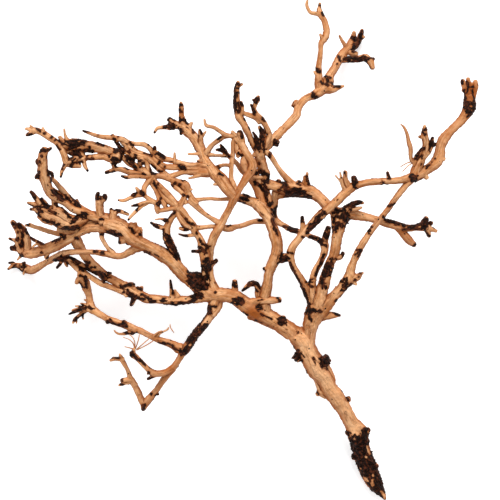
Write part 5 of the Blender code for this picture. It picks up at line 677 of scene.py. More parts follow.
# Flecks of bare wood within the bark, in the same way.
BARE = (
    (-257,127,2.3), (-206,141,2.6), (-342,-28,1.6), (-66,-108,2.1), (-91,-143,2.1), (-104,214,1.6),
    (113,-33,1.5), (116,-42,114,-47,1.5), (158,-283,1.7), (175,-310,1.7), (176,-297,179,-304,1.7),
    (184,-338,1.8), (172,-343,176,-346,1.8), (183,-345,184,-352,2.3), (198,-362,202,-373,1.9),
    (182,281,184,274,1.6),
)

# Bare fibres that stand off the wood: x, y as seen and height of each place, in mm.
FIBRES = (
    ((-173, -147, 100), (-176, -139, 104), (-182, -134, 107), (-190, -131, 108)),
    ((-173, -147, 100), (-173, -138, 105), (-176, -131, 107), (-181, -127, 106)),
    ((-172, -148, 100), (-169, -140, 104), (-167, -133, 106), (-166, -127, 104)),
    ((-170, -149, 100), (-162, -142, 104), (-155, -136, 106), (-149, -131, 105)),
    ((-170, -150, 100), (-160, -145, 103), (-151, -140, 104), (-142, -134, 102)),
    ((-174, -149, 100), (-180, -147, 103), (-184, -146, 104), (-188, -145, 103)),
    ((-120, -112, 96), (-119, -117, 97), (-117, -120, 97), (-114, -124, 95)),
    ((242, 132, 166), (237, 131, 168), (231, 128, 169), (226, 125, 168)),
    ((243, 130, 166), (238, 127, 168), (233, 122, 168), (229, 118, 166)),
)

# Swellings and webs that fill out the limbs of a piece, in the same way as the limbs.
SWELLS = {
    "butt_and_main_limb": (
        ((96, -187, 69, 7), (101, -198, 66, 8), (104, -207, 64, 9), (106, -214, 62, 10), (114, -220, 60, 9)),
        ((112, -170, 73, 10), (118, -184, 70, 12), (123, -199, 66, 10), (127, -212, 62, 6)),
        ((0, -97, 96, 14), (22, -105, 94, 15), (42, -114, 92, 15), (60, -128, 89, 15)),
    ),
    "low_left_limbs": (
        ((-45, -74, 103, 10), (-49, -86, 102, 12), (-56, -96, 101, 12)),
        ((-109, -69, 97, 9), (-113, -60, 98, 4)),
    ),
    "left_hands": (
        ((-316, 52, 133, 9), (-308, 45, 132, 9), (-296, 41, 131, 9)),
        ((-329, 88, 141, 4.5), (-321, 78, 140, 7), (-314, 70, 138, 8)),
        ((-288, 32, 112, 8), (-275, 29, 109, 10), (-262, 31, 108, 11)),
        ((-298, 91, 130, 7), (-288, 83, 129, 9), (-277, 76, 128, 8)),
        ((-252, 41, 112, 8), (-238, 41, 113, 11), (-222, 40, 114, 11)),
    ),
    "upper_left_bundle": (
        ((-276, 150, 159, 8), (-262, 146, 157, 12), (-250, 143, 157, 10)),
        ((-286, 170, 167, 5), (-281, 163, 166, 8)),
        ((-274, 128, 160, 7), (-262, 127, 159, 8), (-254, 126, 159, 6)),
    ),
    "fan_of_twigs": (
        ((-8, 140, 156, 10), (-9, 130, 155, 12), (-6, 119, 154, 10)),
        ((-19, 160, 158, 9), (-19, 150, 157, 9), (-15, 142, 156, 8)),
        ((-99, 78, 149, 7), (-96, 70, 149, 7)),
        ((-133, 76, 147, 7), (-129, 70, 147, 8), (-126, 64, 147, 5)),
    ),
    "middle_limbs": (
        ((10, 120, 134, 7), (10, 112, 133, 8), (13, 104, 131, 9), (12, 98, 130, 8)),
        ((38, 79, 119, 8), (50, 82, 121, 9), (66, 84, 124, 9), (84, 82, 127, 8)),
        ((14, 185, 160, 4.5), (18, 177, 157, 7), (19, 168, 154, 9), (19, 157, 150, 10)),
        ((8, 170, 155, 5), (11, 162, 152, 7), (13, 154, 149, 8)),
        ((-7, 204, 157, 6), (1, 201, 157, 6.5), (9, 197, 157, 7), (15, 191, 157, 7)),
    ),
    "right_prongs": (
        ((126, 53, 146, 9), (127, 40, 146, 9), (127, 30, 145, 8)),
        ((151, -42, 129, 13), (158, -41, 129, 13), (163, -39, 130, 9), (166, -35, 131, 5)),
    ),
    "far_right_limbs": (
        ((322, 238, 144, 9), (325, 250, 144, 6.5)),
        ((332, 237, 142, 10), (333, 250, 142, 7)),
    ),
    "top_right_limb": (((150, 296, 26, 8), (160, 294, 32, 7)),),
}

AROUND = 24  # places in a ring of a limb
ALONG = 1.5 * MM  # distance between two rings
THINNEST = 1.1 * MM  # least radius of a twig
CAP = ((0.14, 0.93), (0.26, 0.72), (0.34, 0.38))  # a cap's rings: how far out, and how wide, by the radius
POLE = 0.37  # how far out a cap's middle is, by the radius
WAVES = ((1, 0.03), (2, 0.06), (3, 0.045), (5, 0.026), (8, 0.013))  # ridges round a limb and their heights
WAVE_SHARE = (0.6, 1.4)  # least and most share of its height that a ridge gets
TWIST = 22.0  # the most by which the ridges wind round a limb, radians for each metre
SWELLINGS = ((2.2, 0.02), (4.5, 0.03), (9.0, 0.04))  # lengths by the thickness, and heights
SWELLING_SHARE = (0.8, 1.25)  # least and most share of its length that a swelling gets
KNOT_RINGS = 11  # rings between the two poles of a knot
FIRST_SEED = 11  # seed of the first group of limbs, the next groups following on
FIBRE_SEED = 5
FIBRE_RADII = (0.5 * MM, 0.25 * MM)  # of a loose fibre, at its root and at its tip
LIMB_STEP = (0.31, 0.17, 0.23)  # how far the grain moves on from limb to limb, m
CHUNK = 4000  # places that are compared with the limbs at a time
HOLLOW_ROUNDS = 6  # how many neighbours away the surroundings of a place reach
MARK_REACH = 7.0  # how far from a mark its bark can reach at the most, mm
NO_LIMB = -1000.0  # height of a mark that lies over no limb, mm
DARK_KNOTS_BELOW = 200.0  # knots right of the middle and lower than this in the picture are dark, mm
SMALL_KNOT = 10.0  # knots thinner than this are dark everywhere, mm
UNDER_REACH = 12.0  # how far below the top of a limb a mark of bark still holds, mm
GRAIN_SHAPE = (1.0, 1.0, 0.42)  # makes the bark's ragged edge run along the limb
RAGGED = ((1.5, 8.0, 3), (1.1, 3.6, 4), (0.5, 1.8, 9))  # the edge's waves: height and length in mm, seed
CRUMBS = 0.055  # how far the crumbs of the bark stand off, by the limb's radius
STRAY_BARK_AND_SHADE = {"butt_and_main_limb": 0.0}  # stray bark besides the marks, partly painted shade on lower flanks
OTHER_STRAY_BARK_AND_SHADE = 0.2  # the same for the other pieces
LUMPS = 0.028  # height of the wood's unevenness, by the limb's radius
# Broad areas where the wood is paler (above 0) or browner (below 0): x, y and reach in mm, and how much.
SHADES = (
    (95, -165, 60, 0.5), (155, -285, 75, 0.5), (-325, 95, 60, 0.35), (-280, 45, 22, 0.5), (-340, 0, 40, 0.3),
    (185, 115, 50, -0.4), (335, 190, 60, -0.5), (170, 355, 40, -0.5), (-105, -190, 65, -0.7),
    (120, 330, 45, -0.35), (329, 240, 16, -0.8), (5, -97, 20, -1.0),
)
FULLNESS = 0.45 * MM  # how far the bare wood stands out again where the fusing has thinned it
FLOOR_HALF = 12.0  # half the width of the floor, m
FLOOR_DROP = 0.3 * MM  # how far the floor is below the branch, so that no two faces share a plane
# Each light's name, place in m and share of the main light's strength.
LIGHTS = (("main light", (0.2, 2.0, 2.0), 1.0), ("fill light", (-2.4, 0.2, 2.4), 0.2))
LIGHT_AIM = (0.0, 0.0, 0.1)  # where the lights point, m
LIGHT_SPREAD = 0.5  # angle that a light fills as seen from the branch, radians


def linear(red, green, blue):
    """A colour in linear light from its 0 to 255 values on a screen."""
    values = np.array((red, green, blue)) / 255
    return tuple(np.where(values > 0.04045, ((values + 0.055) / 1.055) ** 2.4, values / 12.92).tolist())


def real_places(rows):
    """Places and radii in metres: x and y as seen shrink by the share of the eye's distance gained."""
    seen = np.array(rows, float)
    shrink = 1 - (seen[:, 2] - PICTURE_HEIGHT) / EYE_DISTANCE
    x = seen[:, 0] * shrink + SHIFT[0]
    y = seen[:, 1] * shrink + SHIFT[1]
    return np.column_stack([x, y, seen[:, 2], seen[:, 3] * shrink / 2]) * MM


def seen_places(places):
    """The x and y at which the eye sees the places, in mm."""
    shrink = 1 - (places[:, 2] / MM - PICTURE_HEIGHT) / EYE_DISTANCE
    return (places[:, :2] / MM - np.array(SHIFT)) / shrink[:, None]


def smooth_line(rows):
    """Even places on a cubic curve through the rows, with slopes taken from each row's neighbours."""
    points = real_places(rows)
    chords = np.linalg.norm(np.diff(points[:, :3], axis=0), axis=1)
    run = np.concatenate([[0.0], np.cumsum(chords)])
    slopes = np.gradient(points, run, axis=0)
    distances = np.linspace(0, run[-1], max(int(run[-1] / ALONG), 4) + 1)
    k = np.clip(np.searchsorted(run, distances, side="right") - 1, 0, len(run) - 2)
    span = (run[k + 1] - run[k])[:, None]
    t = (distances - run[k])[:, None] / span
    line = (2 * t**3 - 3 * t**2 + 1) * points[k] + (3 * t**2 - 2 * t**3) * points[k + 1]
    line += span * ((t**3 - 2 * t**2 + t) * slopes[k] + (t**3 - t**2) * slopes[k + 1])
    return line, distances


def unit(vectors):
    """Each row at length one."""
    return vectors / np.linalg.norm(vectors, axis=1)[:, None]


def limb_course(rows):
    """A limb's middles, radii, run, and its directions along, across and upright at each ring."""
    line, run = smooth_line(rows)
    along = unit(np.gradient(line[:, :3], run, axis=0))
    across = unit(np.cross(along, (0.0, 0.0, 1.0)) + np.array((1e-4, 0.0, 0.0)))
    return {
        "middles": line[:, :3],
        "radii": np.maximum(line[:, 3], THINNEST),
        "run": run,
        "along": along,
        "across": across,
        "upright": np.cross(across, along),
    }


COURSES = {
    piece: [limb_course(rows) for rows in (*limbs.values(), *SWELLS.get(piece, ()))]
    for piece, limbs in LIMBS.items()
}


def closed_rings(rings, first, last):
    """Rings joined into a closed shell: quads from ring to ring, and a fan from each pole."""
    count, around = rings.shape[:2]
    ring, place = np.meshgrid(np.arange(count - 1) * around, np.arange(around), indexing="ij")
    following = (place + 1) % around
    quads = [ring + place, ring + around + place, ring + around + following, ring + following]
    quads = np.stack(quads, axis=-1).reshape(-1, 4)
    start = count * around
    turn = np.arange(around)
    after = (turn + 1) % around
    fan_first = np.stack([np.full(around, start), turn, after], axis=-1)
    top = (count - 1) * around
    fan_last = np.stack([np.full(around, start + 1), top + after, top + turn], axis=-1)
    places = np.concatenate([rings.reshape(-1, 3), first[None], last[None]])
    return places, quads.tolist() + fan_first.tolist() + fan_last.tolist()


def limb_shell(course, dice):
    """A ring round the middle: the radius times one plus ridges that wind along the limb, and swellings."""
    turn = 2 * np.pi * np.arange(AROUND) / AROUND
    run = course["run"][:, None]
    shape = np.ones((len(run), AROUND))
    for ridges, height in WAVES:
        twist, phase = dice.uniform(-TWIST, TWIST), dice.uniform(0, 2 * np.pi)
        shape += height * dice.uniform(*WAVE_SHARE) * np.cos(ridges * turn + twist * run + phase)
    thickness = 2 * float(np.mean(course["radii"]))
    for length, height in SWELLINGS:
        bends = 2 * np.pi * run / (length * thickness * dice.uniform(*SWELLING_SHARE))
        shape += height * np.sin(bends + dice.uniform(0, 2 * np.pi))
    radii = course["radii"][:, None] * shape
    across = np.cos(turn)[None, :, None] * course["across"][:, None]
    upright = np.sin(turn)[None, :, None] * course["upright"][:, None]
    rings = course["middles"][:, None] + radii[..., None] * (across + upright)
    outs = []
    for end, outward in ((0, -course["along"][0]), (-1, course["along"][-1])):
        middle, radius = course["middles"][end], course["radii"][end]
        cap = [middle + out * radius * outward + wide * (rings[end] - middle) for out, wide in CAP]
        outs.append((cap, middle + POLE * radius * outward))
    rings = np.concatenate([outs[0][0][::-1], rings, outs[1][0]])
    return closed_rings(rings, outs[0][1], outs[1][1])


def knot_shell(row, dice):
    """A ball: the radius times one plus waves of latitude and longitude, closed at both poles."""
    place = real_places([row])[0]
    turn = 2 * np.pi * np.arange(AROUND) / AROUND
    height = np.linspace(-1, 1, KNOT_RINGS + 2)[1:-1][:, None] * np.pi / 2
    shape = 1 + 0.05 * np.cos(2 * turn + 3 * height + dice.uniform(0, 6))
    shape = shape + 0.04 * np.cos(5 * turn + dice.uniform(0, 6)) * np.cos(height)
    radii = place[3] * shape
    level = [np.cos(turn) * np.cos(height), np.sin(turn) * np.cos(height)]
    outwards = np.stack([*level, np.sin(height) + 0 * turn], axis=-1)
    spots = outwards.reshape(-1, 3)
    seed = int(dice.integers(1000))
    lumps = 0.14 * ripple(spots, 1.5, seed) + 0.06 * ripple(spots, 0.6, seed + 1)
    radii = radii * (1 + lumps.reshape(shape.shape))
    rings = outwards * radii[..., None]
    pole = np.array((0, 0, place[3]))
    places, faces = closed_rings(rings + place[:3], place[:3] - pole, place[:3] + pole)
    return places, [face[::-1] for face in faces]


def knots_of(piece):
    """The knots whose nearest limb belongs to the piece."""
    chosen = []
    for row in KNOTS:
        place = real_places([row])[0, :3]
        nearest = {
            name: min(np.min(np.linalg.norm(c["middles"] - place, axis=1) - c["radii"]) for c in courses)
            for name, courses in COURSES.items()
        }
        if min(nearest, key=nearest.get) == piece:
            chosen.append(row)
    return chosen


def joined(shells):
    """One list of places and one of faces from several shells."""
    places, faces, count = [], [], 0
    for shell_places, shell_faces in shells:
        places.append(shell_places)
        faces += [[corner + count for corner in face] for face in shell_faces]
        count += len(shell_places)
    return np.concatenate(places), faces


def new_object(name, places, faces):
    mesh = bpy.data.meshes.new(name)
    mesh.from_pydata(places.tolist(), [], faces)
    mesh.update()
    made = bpy.data.objects.new(name, mesh)
    bpy.context.scene.collection.objects.link(made)
    return made


def fuse(made, voxel):
    """The shells become one skin, as fine as the voxel, that takes in what any of them holds."""
    skin = made.modifiers.new("skin", "REMESH")
    skin.mode = "VOXEL"
    skin.voxel_size = voxel
    ease = made.modifiers.new("ease", "SMOOTH")
    ease.factor = 0.5
    ease.iterations = 2
    shown = made.evaluated_get(bpy.context.evaluated_depsgraph_get())
    fused = bpy.data.meshes.new_from_object(shown)
    shells = made.data
    made.modifiers.clear()
    made.data = fused
    fused.name = made.name
    bpy.data.meshes.remove(shells)


def vectors_of(source, key):
    """The vertices' places or directions as an array."""
    values = np.empty(len(source) * 3, np.float32)
    source.foreach_get(key, values)
    return values.reshape(-1, 3).astype(float)


def nearest_course(places, courses):
    """Which ring of which limb each place lies on: the least of its distance less the ring's radius."""
    middles = np.concatenate([c["middles"] for c in courses])
    radii = np.concatenate([c["radii"] for c in courses])
    chosen = []
    for part in np.array_split(places, len(places) // CHUNK + 1):
        squares = (part**2).sum(axis=1)[:, None] + (middles**2).sum(axis=1) - 2 * part @ middles.T
        chosen.append(np.argmin(np.sqrt(np.maximum(squares, 0)) - radii, axis=1))
    return np.concatenate(chosen)


def grain_of(places, courses):
    """Place within the limb: metres across, metres upright and metres along, moved on for each limb."""
    near = nearest_course(places, courses)
    stack = {key: np.concatenate([c[key] for c in courses])[near] for key in courses[0]}
    number = np.concatenate([np.full(len(c["run"]), i) for i, c in enumerate(courses)])[near]
    away = places - stack["middles"]
    across = (away * stack["across"]).sum(axis=1)
    upright = (away * stack["upright"]).sum(axis=1)
    run = stack["run"] + (away * stack["along"]).sum(axis=1)
    grain = np.column_stack([across, upright, run]) + number[:, None] * np.array(LIMB_STEP)
    return grain, upright / np.hypot(across, upright).clip(1e-5), stack["radii"]


def ripple(places, size, seed):
    """Smooth noise of about unit size: the sum of twelve seeded plane waves, each about one size long."""
    dice = np.random.default_rng(seed)
    waves = unit(dice.normal(size=(12, 3))) * (2 * np.pi / size) * dice.uniform(0.6, 1.5, (12, 1))
    return np.sin(places @ waves.T + dice.uniform(0, 2 * np.pi, 12)).sum(axis=1) / np.sqrt(6)


def distance_to_mark(seen, mark):
    """Distance in the picture from each place to the dot or straight stroke of the mark, in mm."""
    start, end = np.array(mark[:2]), np.array(mark[-3:-1])
    stroke = end - start
    share = ((seen - start) @ stroke / max(stroke @ stroke, 1e-9)).clip(0, 1)
    return np.linalg.norm(seen - start - share[:, None] * stroke, axis=1)


def mark_height(mark):
    """Height of the uppermost wood under the middle of the mark, in mm."""
    middle = (np.array(mark[:2]) + np.array(mark[-3:-1])) / 2
    over = np.linalg.norm(EVERY_SEEN - middle, axis=1) * MM < EVERY_RADIUS + 2 * MM
    return EVERY_TOP[over].max() / MM if over.any() else NO_LIMB


EVERY_COURSE = [course for courses in COURSES.values() for course in courses]
EVERY_SEEN = np.concatenate([seen_places(c["middles"]) for c in EVERY_COURSE])
EVERY_TOP = np.concatenate([c["middles"][:, 2] + c["radii"] for c in EVERY_COURSE])
EVERY_RADIUS = np.concatenate([c["radii"] for c in EVERY_COURSE])
KNOT_MARKS = [
    ((x, y, 0.5 * thick), height)
    for x, y, height, thick in KNOTS
    if (x > 0 and y < DARK_KNOTS_BELOW) or thick < SMALL_KNOT
]
MARKS = [(mark, mark_height(mark)) for mark in BARK] + KNOT_MARKS


def near_mark(seen, mark):
    """Which places lie within the mark's reach of the box round its ends."""
    ends = np.array((mark[:2], mark[-3:-1]))
    reach = mark[-1] + MARK_REACH
    inside = (seen > ends.min(axis=0) - reach) & (seen < ends.max(axis=0) + reach)
    return np.flatnonzero(inside.all(axis=1))


def bark_cover(places, normals, grain, lift, stray_and_shade):
    """How far inside the edge of a bark remnant each place is, in mm: negative on bare wood.

    It is the most that a mark, the stray bark with its painted shade on the lower flanks, or the bark on
    the underside gives: for a mark, its half width less the distance to it, plus the ragged edge's waves.
    """
    seen = seen_places(places)
    drawn = grain * np.array(GRAIN_SHAPE)
    ragged = sum(height * ripple(drawn, length * MM, seed) for height, length, seed in RAGGED)
    cover = np.full(len(places), -9.0)
    for mark, height in MARKS:
        near = near_mark(seen, mark)
        if len(near):
            below = np.maximum(np.abs(places[near, 2] / MM - height) - UNDER_REACH - mark[-1], 0)
            inside = mark[-1] - distance_to_mark(seen[near], mark) - 2 * below
            cover[near] = np.maximum(cover[near], inside + ragged[near] * min(mark[-1] / 6, 0.8))
    for mark in BARE:
        near = near_mark(seen, mark)
        outside = distance_to_mark(seen[near], mark) - mark[-1]
        cover[near] = np.minimum(cover[near], outside + 0.5 * ragged[near])
    # Stray bark lies in small patches, most of them on the flanks that face the lower edge of the picture;
    # those flank patches are partly painted shade: dark bark put where the lower flanks lie in shade.
    side = np.exp(-(((lift - 0.15) / 0.38) ** 2)) * smooth_step(-normals[:, 1], -0.5, 0.5)
    stray_bark_and_shade = 2.2 * ripple(drawn, 11 * MM, 7) + 2.6 * stray_and_shade * side - 7.0 + 3.5 * stray_and_shade
    # Bark on the underside lies in broad patches and thins out towards the top.
    hidden = 3.0 * ripple(places, 38 * MM, 5) + 1.6 * ripple(drawn, 12 * MM, 6) - 4.6
    hidden -= 6 * (lift + 0.2).clip(0, 1)
    return np.maximum(cover, np.maximum(hidden, stray_bark_and_shade) + 0.6 * ragged)


def neighbour_sums(values, first, second):
    """For each vertex the sum of its neighbours' values, from the two ends of every edge."""
    count = len(values)
    return np.bincount(first, values[second], count) + np.bincount(second, values[first], count)


def hollow_of(mesh, places, normals):
    """How deep each place lies in a hollow, in mm: how far its surroundings stand out along its normal."""
    edges = np.empty(len(mesh.edges) * 2, np.int32)
    mesh.edges.foreach_get("vertices", edges)
    first, second = edges.reshape(-1, 2).T
    count = neighbour_sums(np.ones(len(places)), first, second)
    smooth = places
    for _ in range(HOLLOW_ROUNDS):
        total = np.stack([neighbour_sums(values, first, second) for values in smooth.T], axis=-1)
        smooth = total / count[:, None]
    return ((smooth - places) * normals).sum(axis=1) / MM


def smooth_step(values, low, high):
    t = ((values - low) / (high - low)).clip(0, 1)
    return t * t * (3 - 2 * t)


def add_values(mesh, name, kind, key, values):
    layer = mesh.attributes.new(name, kind, "POINT")
    layer.data.foreach_set(key, np.asarray(values, np.float32).ravel())


def dress_skin(made, courses, thickness, stray_and_shade):
    """Raises the bark, keeps the skin above the floor and stores what the material reads.

    A place moves along its normal by the fullness of bare wood or the thickness of bark, plus the crumbs
    of the bark and the lumps of the wood, both by the limb's radius.
    """
    mesh = made.data
    places = vectors_of(mesh.vertices, "co")
    normals = vectors_of(mesh.vertex_normals, "vector")
    grain, lift, stout = grain_of(places, courses)
    hollow = hollow_of(mesh, places, normals)
    cover = bark_cover(places, normals, grain, lift, stray_and_shade)
    cover += 2.2 * smooth_step(hollow, 0.12, 0.5) * (cover > -6)
    raised = FULLNESS + (thickness - FULLNESS) * smooth_step(cover, -0.4, 0.9)
    crumbs = CRUMBS * stout * ripple(places, 5.5 * MM, 8) * smooth_step(cover, 0.3, 2)
    crumbs += 0.5 * CRUMBS * stout * ripple(places, 2.8 * MM, 10) * smooth_step(cover, 0.3, 2)
    lumps = LUMPS * stout * ripple(places, 10 * MM, 12) + 0.5 * LUMPS * stout * ripple(places, 5 * MM, 14)
    places += normals * (raised + crumbs + lumps)[:, None]
    places[:, 2] = np.maximum(places[:, 2], 0)
    mesh.vertices.foreach_set("co", places.astype(np.float32).ravel())
    add_values(mesh, "grain", "FLOAT_VECTOR", "vector", grain)
    add_values(mesh, "cover", "FLOAT", "value", cover)
    add_values(mesh, "lift", "FLOAT", "value", lift)
    add_values(mesh, "hollow", "FLOAT", "value", hollow)
    seen = seen_places(places)
    shade = sum(
        share * np.exp(-(((seen - (x, y)) / reach) ** 2).sum(axis=1)) for x, y, reach, share in SHADES
    )
    add_values(mesh, "shade", "FLOAT", "value", shade)
    mesh.update()
    mesh.shade_smooth()


def node(tree, kind, **settings):
    made = tree.nodes.new(kind)
    for key, value in settings.items():
        if key in made.inputs:
            made.inputs[key].default_value = value
        else:
            setattr(made, key, value)
    return made


def noise(tree, source, scale, detail, roughness):
    """Noise read along a vector that is first stretched by the scale on each axis."""
    stretch = node(tree, "ShaderNodeVectorMath", operation="MULTIPLY")
    stretch.inputs[1].default_value = scale
    tree.links.new(source, stretch.inputs[0])
    made = node(tree, "ShaderNodeTexNoise", Scale=1.0, Detail=detail, Roughness=roughness)
    tree.links.new(stretch.outputs[0], made.inputs["Vector"])
    return made.outputs["Fac"]


def sloped(tree, value, low, high, start=0.0, end=1.0, steep="SMOOTHSTEP"):
    """The value carried from low..high to start..end."""
    made = node(tree, "ShaderNodeMapRange", interpolation_type=steep)
    for socket, number in zip(made.inputs[1:5], (low, high, start, end)):
        socket.default_value = number
    tree.links.new(value, made.inputs["Value"])
    return made.outputs["Result"]


def sums(tree, operation, first, second):
    made = node(tree, "ShaderNodeMath", operation=operation)
    for socket, value in zip(made.inputs, (first, second)):
        if isinstance(value, (int, float)):
            socket.default_value = value
        else:
            tree.links.new(value, socket)
    return made.outputs[0]


def mixed(tree, share, first, second):
    made = node(tree, "ShaderNodeMix", data_type="RGBA")
    for socket, value in ((made.inputs[0], share), (made.inputs[6], first), (made.inputs[7], second)):
        if isinstance(value, tuple):
            socket.default_value = (*value[:3], 1.0)
        elif isinstance(value, (int, float)):
            socket.default_value = value
        else:
            tree.links.new(value, socket)
    return made.outputs[2]


def tinted(tree, colour, tints):
    """The colour after each tint in turn: a value, its low and high end, the most and the tint's colour."""
    for value, low, high, most, tint in tints:
        colour = mixed(tree, sloped(tree, value, low, high, 0.0, most), colour, tint)
    return colour


def dots(tree, source, size, width, share):
    """Round dots in a share of the cells of a seeded pattern, a cell being one size wide."""
    stretch = node(tree, "ShaderNodeVectorMath", operation="MULTIPLY")
    stretch.inputs[1].default_value = (1 / size, 1 / size, 1 / size)
    tree.links.new(source, stretch.inputs[0])
    cells = node(tree, "ShaderNodeTexVoronoi", Scale=1.0, Randomness=1.0)
    tree.links.new(stretch.outputs[0], cells.inputs["Vector"])
    split = node(tree, "ShaderNodeSeparateColor")
    tree.links.new(cells.outputs["Color"], split.inputs[0])
    inside = sloped(tree, cells.outputs["Distance"], width * 1.15, width * 0.85)
    return sums(tree, "MULTIPLY", inside, sloped(tree, split.outputs[0], 1 - share, 1 - share + 0.02))


def weathered_wood(settings):
    """Tan wood with fine streaks along each limb, painted shade at the sides, and dark bark in its patches.
    """
    material = bpy.data.materials.new("weathered wood")
    material.use_nodes = True
    tree = material.node_tree
    tree.nodes.clear()
    pale, brown = settings.pale_colour[:], settings.brown_colour[:]
    bark, worn_and_shade = settings.bark_colour[:], settings.worn_bark_and_shade_colour[:]
    grain = node(tree, "ShaderNodeAttribute", attribute_name="grain").outputs["Vector"]
    cover, lift, hollow, shade = (
        node(tree, "ShaderNodeAttribute", attribute_name=name).outputs["Fac"]
        for name in ("cover", "lift", "hollow", "shade")
    )
    place = node(tree, "ShaderNodeTexCoord").outputs["Object"]

    streaks = noise(tree, grain, (430.0, 430.0, 30.0), 5.0, 0.62)
    fibres = noise(tree, grain, (1300.0, 1300.0, 70.0), 3.0, 0.6)
    clouds = noise(tree, place, (38.0, 38.0, 38.0), 4.0, 0.6)
    patches = noise(tree, grain, (170.0, 170.0, 26.0), 3.0, 0.6)
    specks = noise(tree, grain, (800.0, 800.0, 300.0), 2.0, 0.5)
    edge = noise(tree, place, (620.0, 620.0, 620.0), 4.0, 0.7)
    crack_run = noise(tree, grain, (330.0, 330.0, 17.0), 4.0, 0.7)

    drifts = noise(tree, grain, (9.0, 9.0, 9.0), 2.0, 0.5)
    flakes = noise(tree, grain, (260.0, 260.0, 130.0), 3.0, 0.6)
    away = sums(tree, "ABSOLUTE", sums(tree, "SUBTRACT", crack_run, 0.5), 0.0)
    crack = sums(tree, "MULTIPLY", sloped(tree, away, 0.018, 0.004), sloped(tree, patches, 0.42, 0.56))
    ragged = sums(tree, "ADD", cover, sloped(tree, edge, 0.3, 0.7, -0.9, 0.9, "LINEAR"))
    mask = sloped(tree, ragged, -0.2, 0.25)

    # Each line tints with its colour, from nothing at the first value to the share at the second.
    tan = mixed(tree, sloped(tree, streaks, 0.36, 0.64), settings.wood_colour[:], pale)
    tan = tinted(tree, tan, (
        (drifts, 0.40, 0.66, 0.5, brown),
        (clouds, 0.42, 0.68, 0.6, brown),
        (clouds, 0.48, 0.28, 0.5, pale),
        (shade, 0.0, 1.0, 1.0, pale),
        (shade, 0.0, -1.0, 1.0, brown),
        (fibres, 0.54, 0.72, 0.4, brown),
        (patches, 0.55, 0.72, 0.5, brown),
        # Painted shade: the bare wood turns browner towards the sides of each limb and darker underneath.
        (lift, 0.95, 0.38, 0.85, brown),
        (lift, 0.42, -0.2, 0.6, worn_and_shade),
        # Painted shade: darker in the hollows; the wood is also a little paler on the ridges.
        (hollow, 0.02, 0.30, 0.75, worn_and_shade),
        (hollow, -0.10, -0.40, 0.25, pale),
    ))
    tan = mixed(tree, sums(tree, "MULTIPLY", crack, 0.7), tan, worn_and_shade)
    tan = tinted(tree, tan, ((specks, 0.68, 0.75, 0.7, worn_and_shade),))
    tan = mixed(tree, dots(tree, place, 0.011, 0.12, 0.35), tan, bark)
    tan = tinted(tree, tan, ((ragged, -2.6, -0.1, 0.6, brown), (ragged, -1.1, 0.0, 0.5, worn_and_shade)))
    crust = tinted(tree, bark, (
        (flakes, 0.48, 0.66, 0.85, worn_and_shade),
        (edge, 0.52, 0.70, 0.6, worn_and_shade),
        (specks, 0.66, 0.74, 0.4, brown),
    ))
    colour = mixed(tree, mask, tan, crust)

    height = sums(tree, "ADD", sums(tree, "MULTIPLY", streaks, 0.7), sums(tree, "MULTIPLY", fibres, 0.35))
    height = sums(tree, "SUBTRACT", height, sums(tree, "MULTIPLY", crack, 0.5))
    height = sums(tree, "ADD", height, sums(tree, "MULTIPLY", mask, 0.4))
    height = sums(tree, "ADD", height, sums(tree, "MULTIPLY", sums(tree, "MULTIPLY", mask, edge), 1.6))
    bump = node(tree, "ShaderNodeBump", Strength=0.7, Distance=settings.groove_depth)
    tree.links.new(height, bump.inputs["Height"])
    shader = node(tree, "ShaderNodeBsdfPrincipled")
    tree.links.new(colour, shader.inputs["Base Color"])
    tree.links.new(sloped(tree, mask, 0.0, 1.0, 0.66, 0.55, "LINEAR"), shader.inputs["Roughness"])
    tree.links.new(bump.outputs[0], shader.inputs["Normal"])
    shader.inputs["Specular IOR Level"].default_value = 0.12
    output = node(tree, "ShaderNodeOutputMaterial")
    tree.links.new(shader.outputs[0], output.inputs["Surface"])
    return material


def wood_material(settings):
    return bpy.data.materials.get("weathered wood") or weathered_wood(settings)


def hand_over(made, material):
    """Gives the piece its finish and says what it rides on and stands for."""
    made.data.materials.append(material)
    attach(made, "root")
    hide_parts("branch")


def build_limbs(pieces, settings):
    for piece in pieces:
        dice = np.random.default_rng(list(LIMBS).index(piece) + FIRST_SEED)
        shells = [limb_shell(course, dice) for course in COURSES[piece]]
        shells += [knot_shell(row, dice) for row in knots_of(piece)]
        made = new_object(piece, *joined(shells))
        fuse(made, settings.fineness)
        if not made.data.polygons:
            raise RuntimeError(f"{piece} came out empty")
        dress_skin(made, COURSES[piece], settings.bark_thickness, STRAY_BARK_AND_SHADE.get(piece, OTHER_STRAY_BARK_AND_SHADE))
        hand_over(made, wood_material(settings))


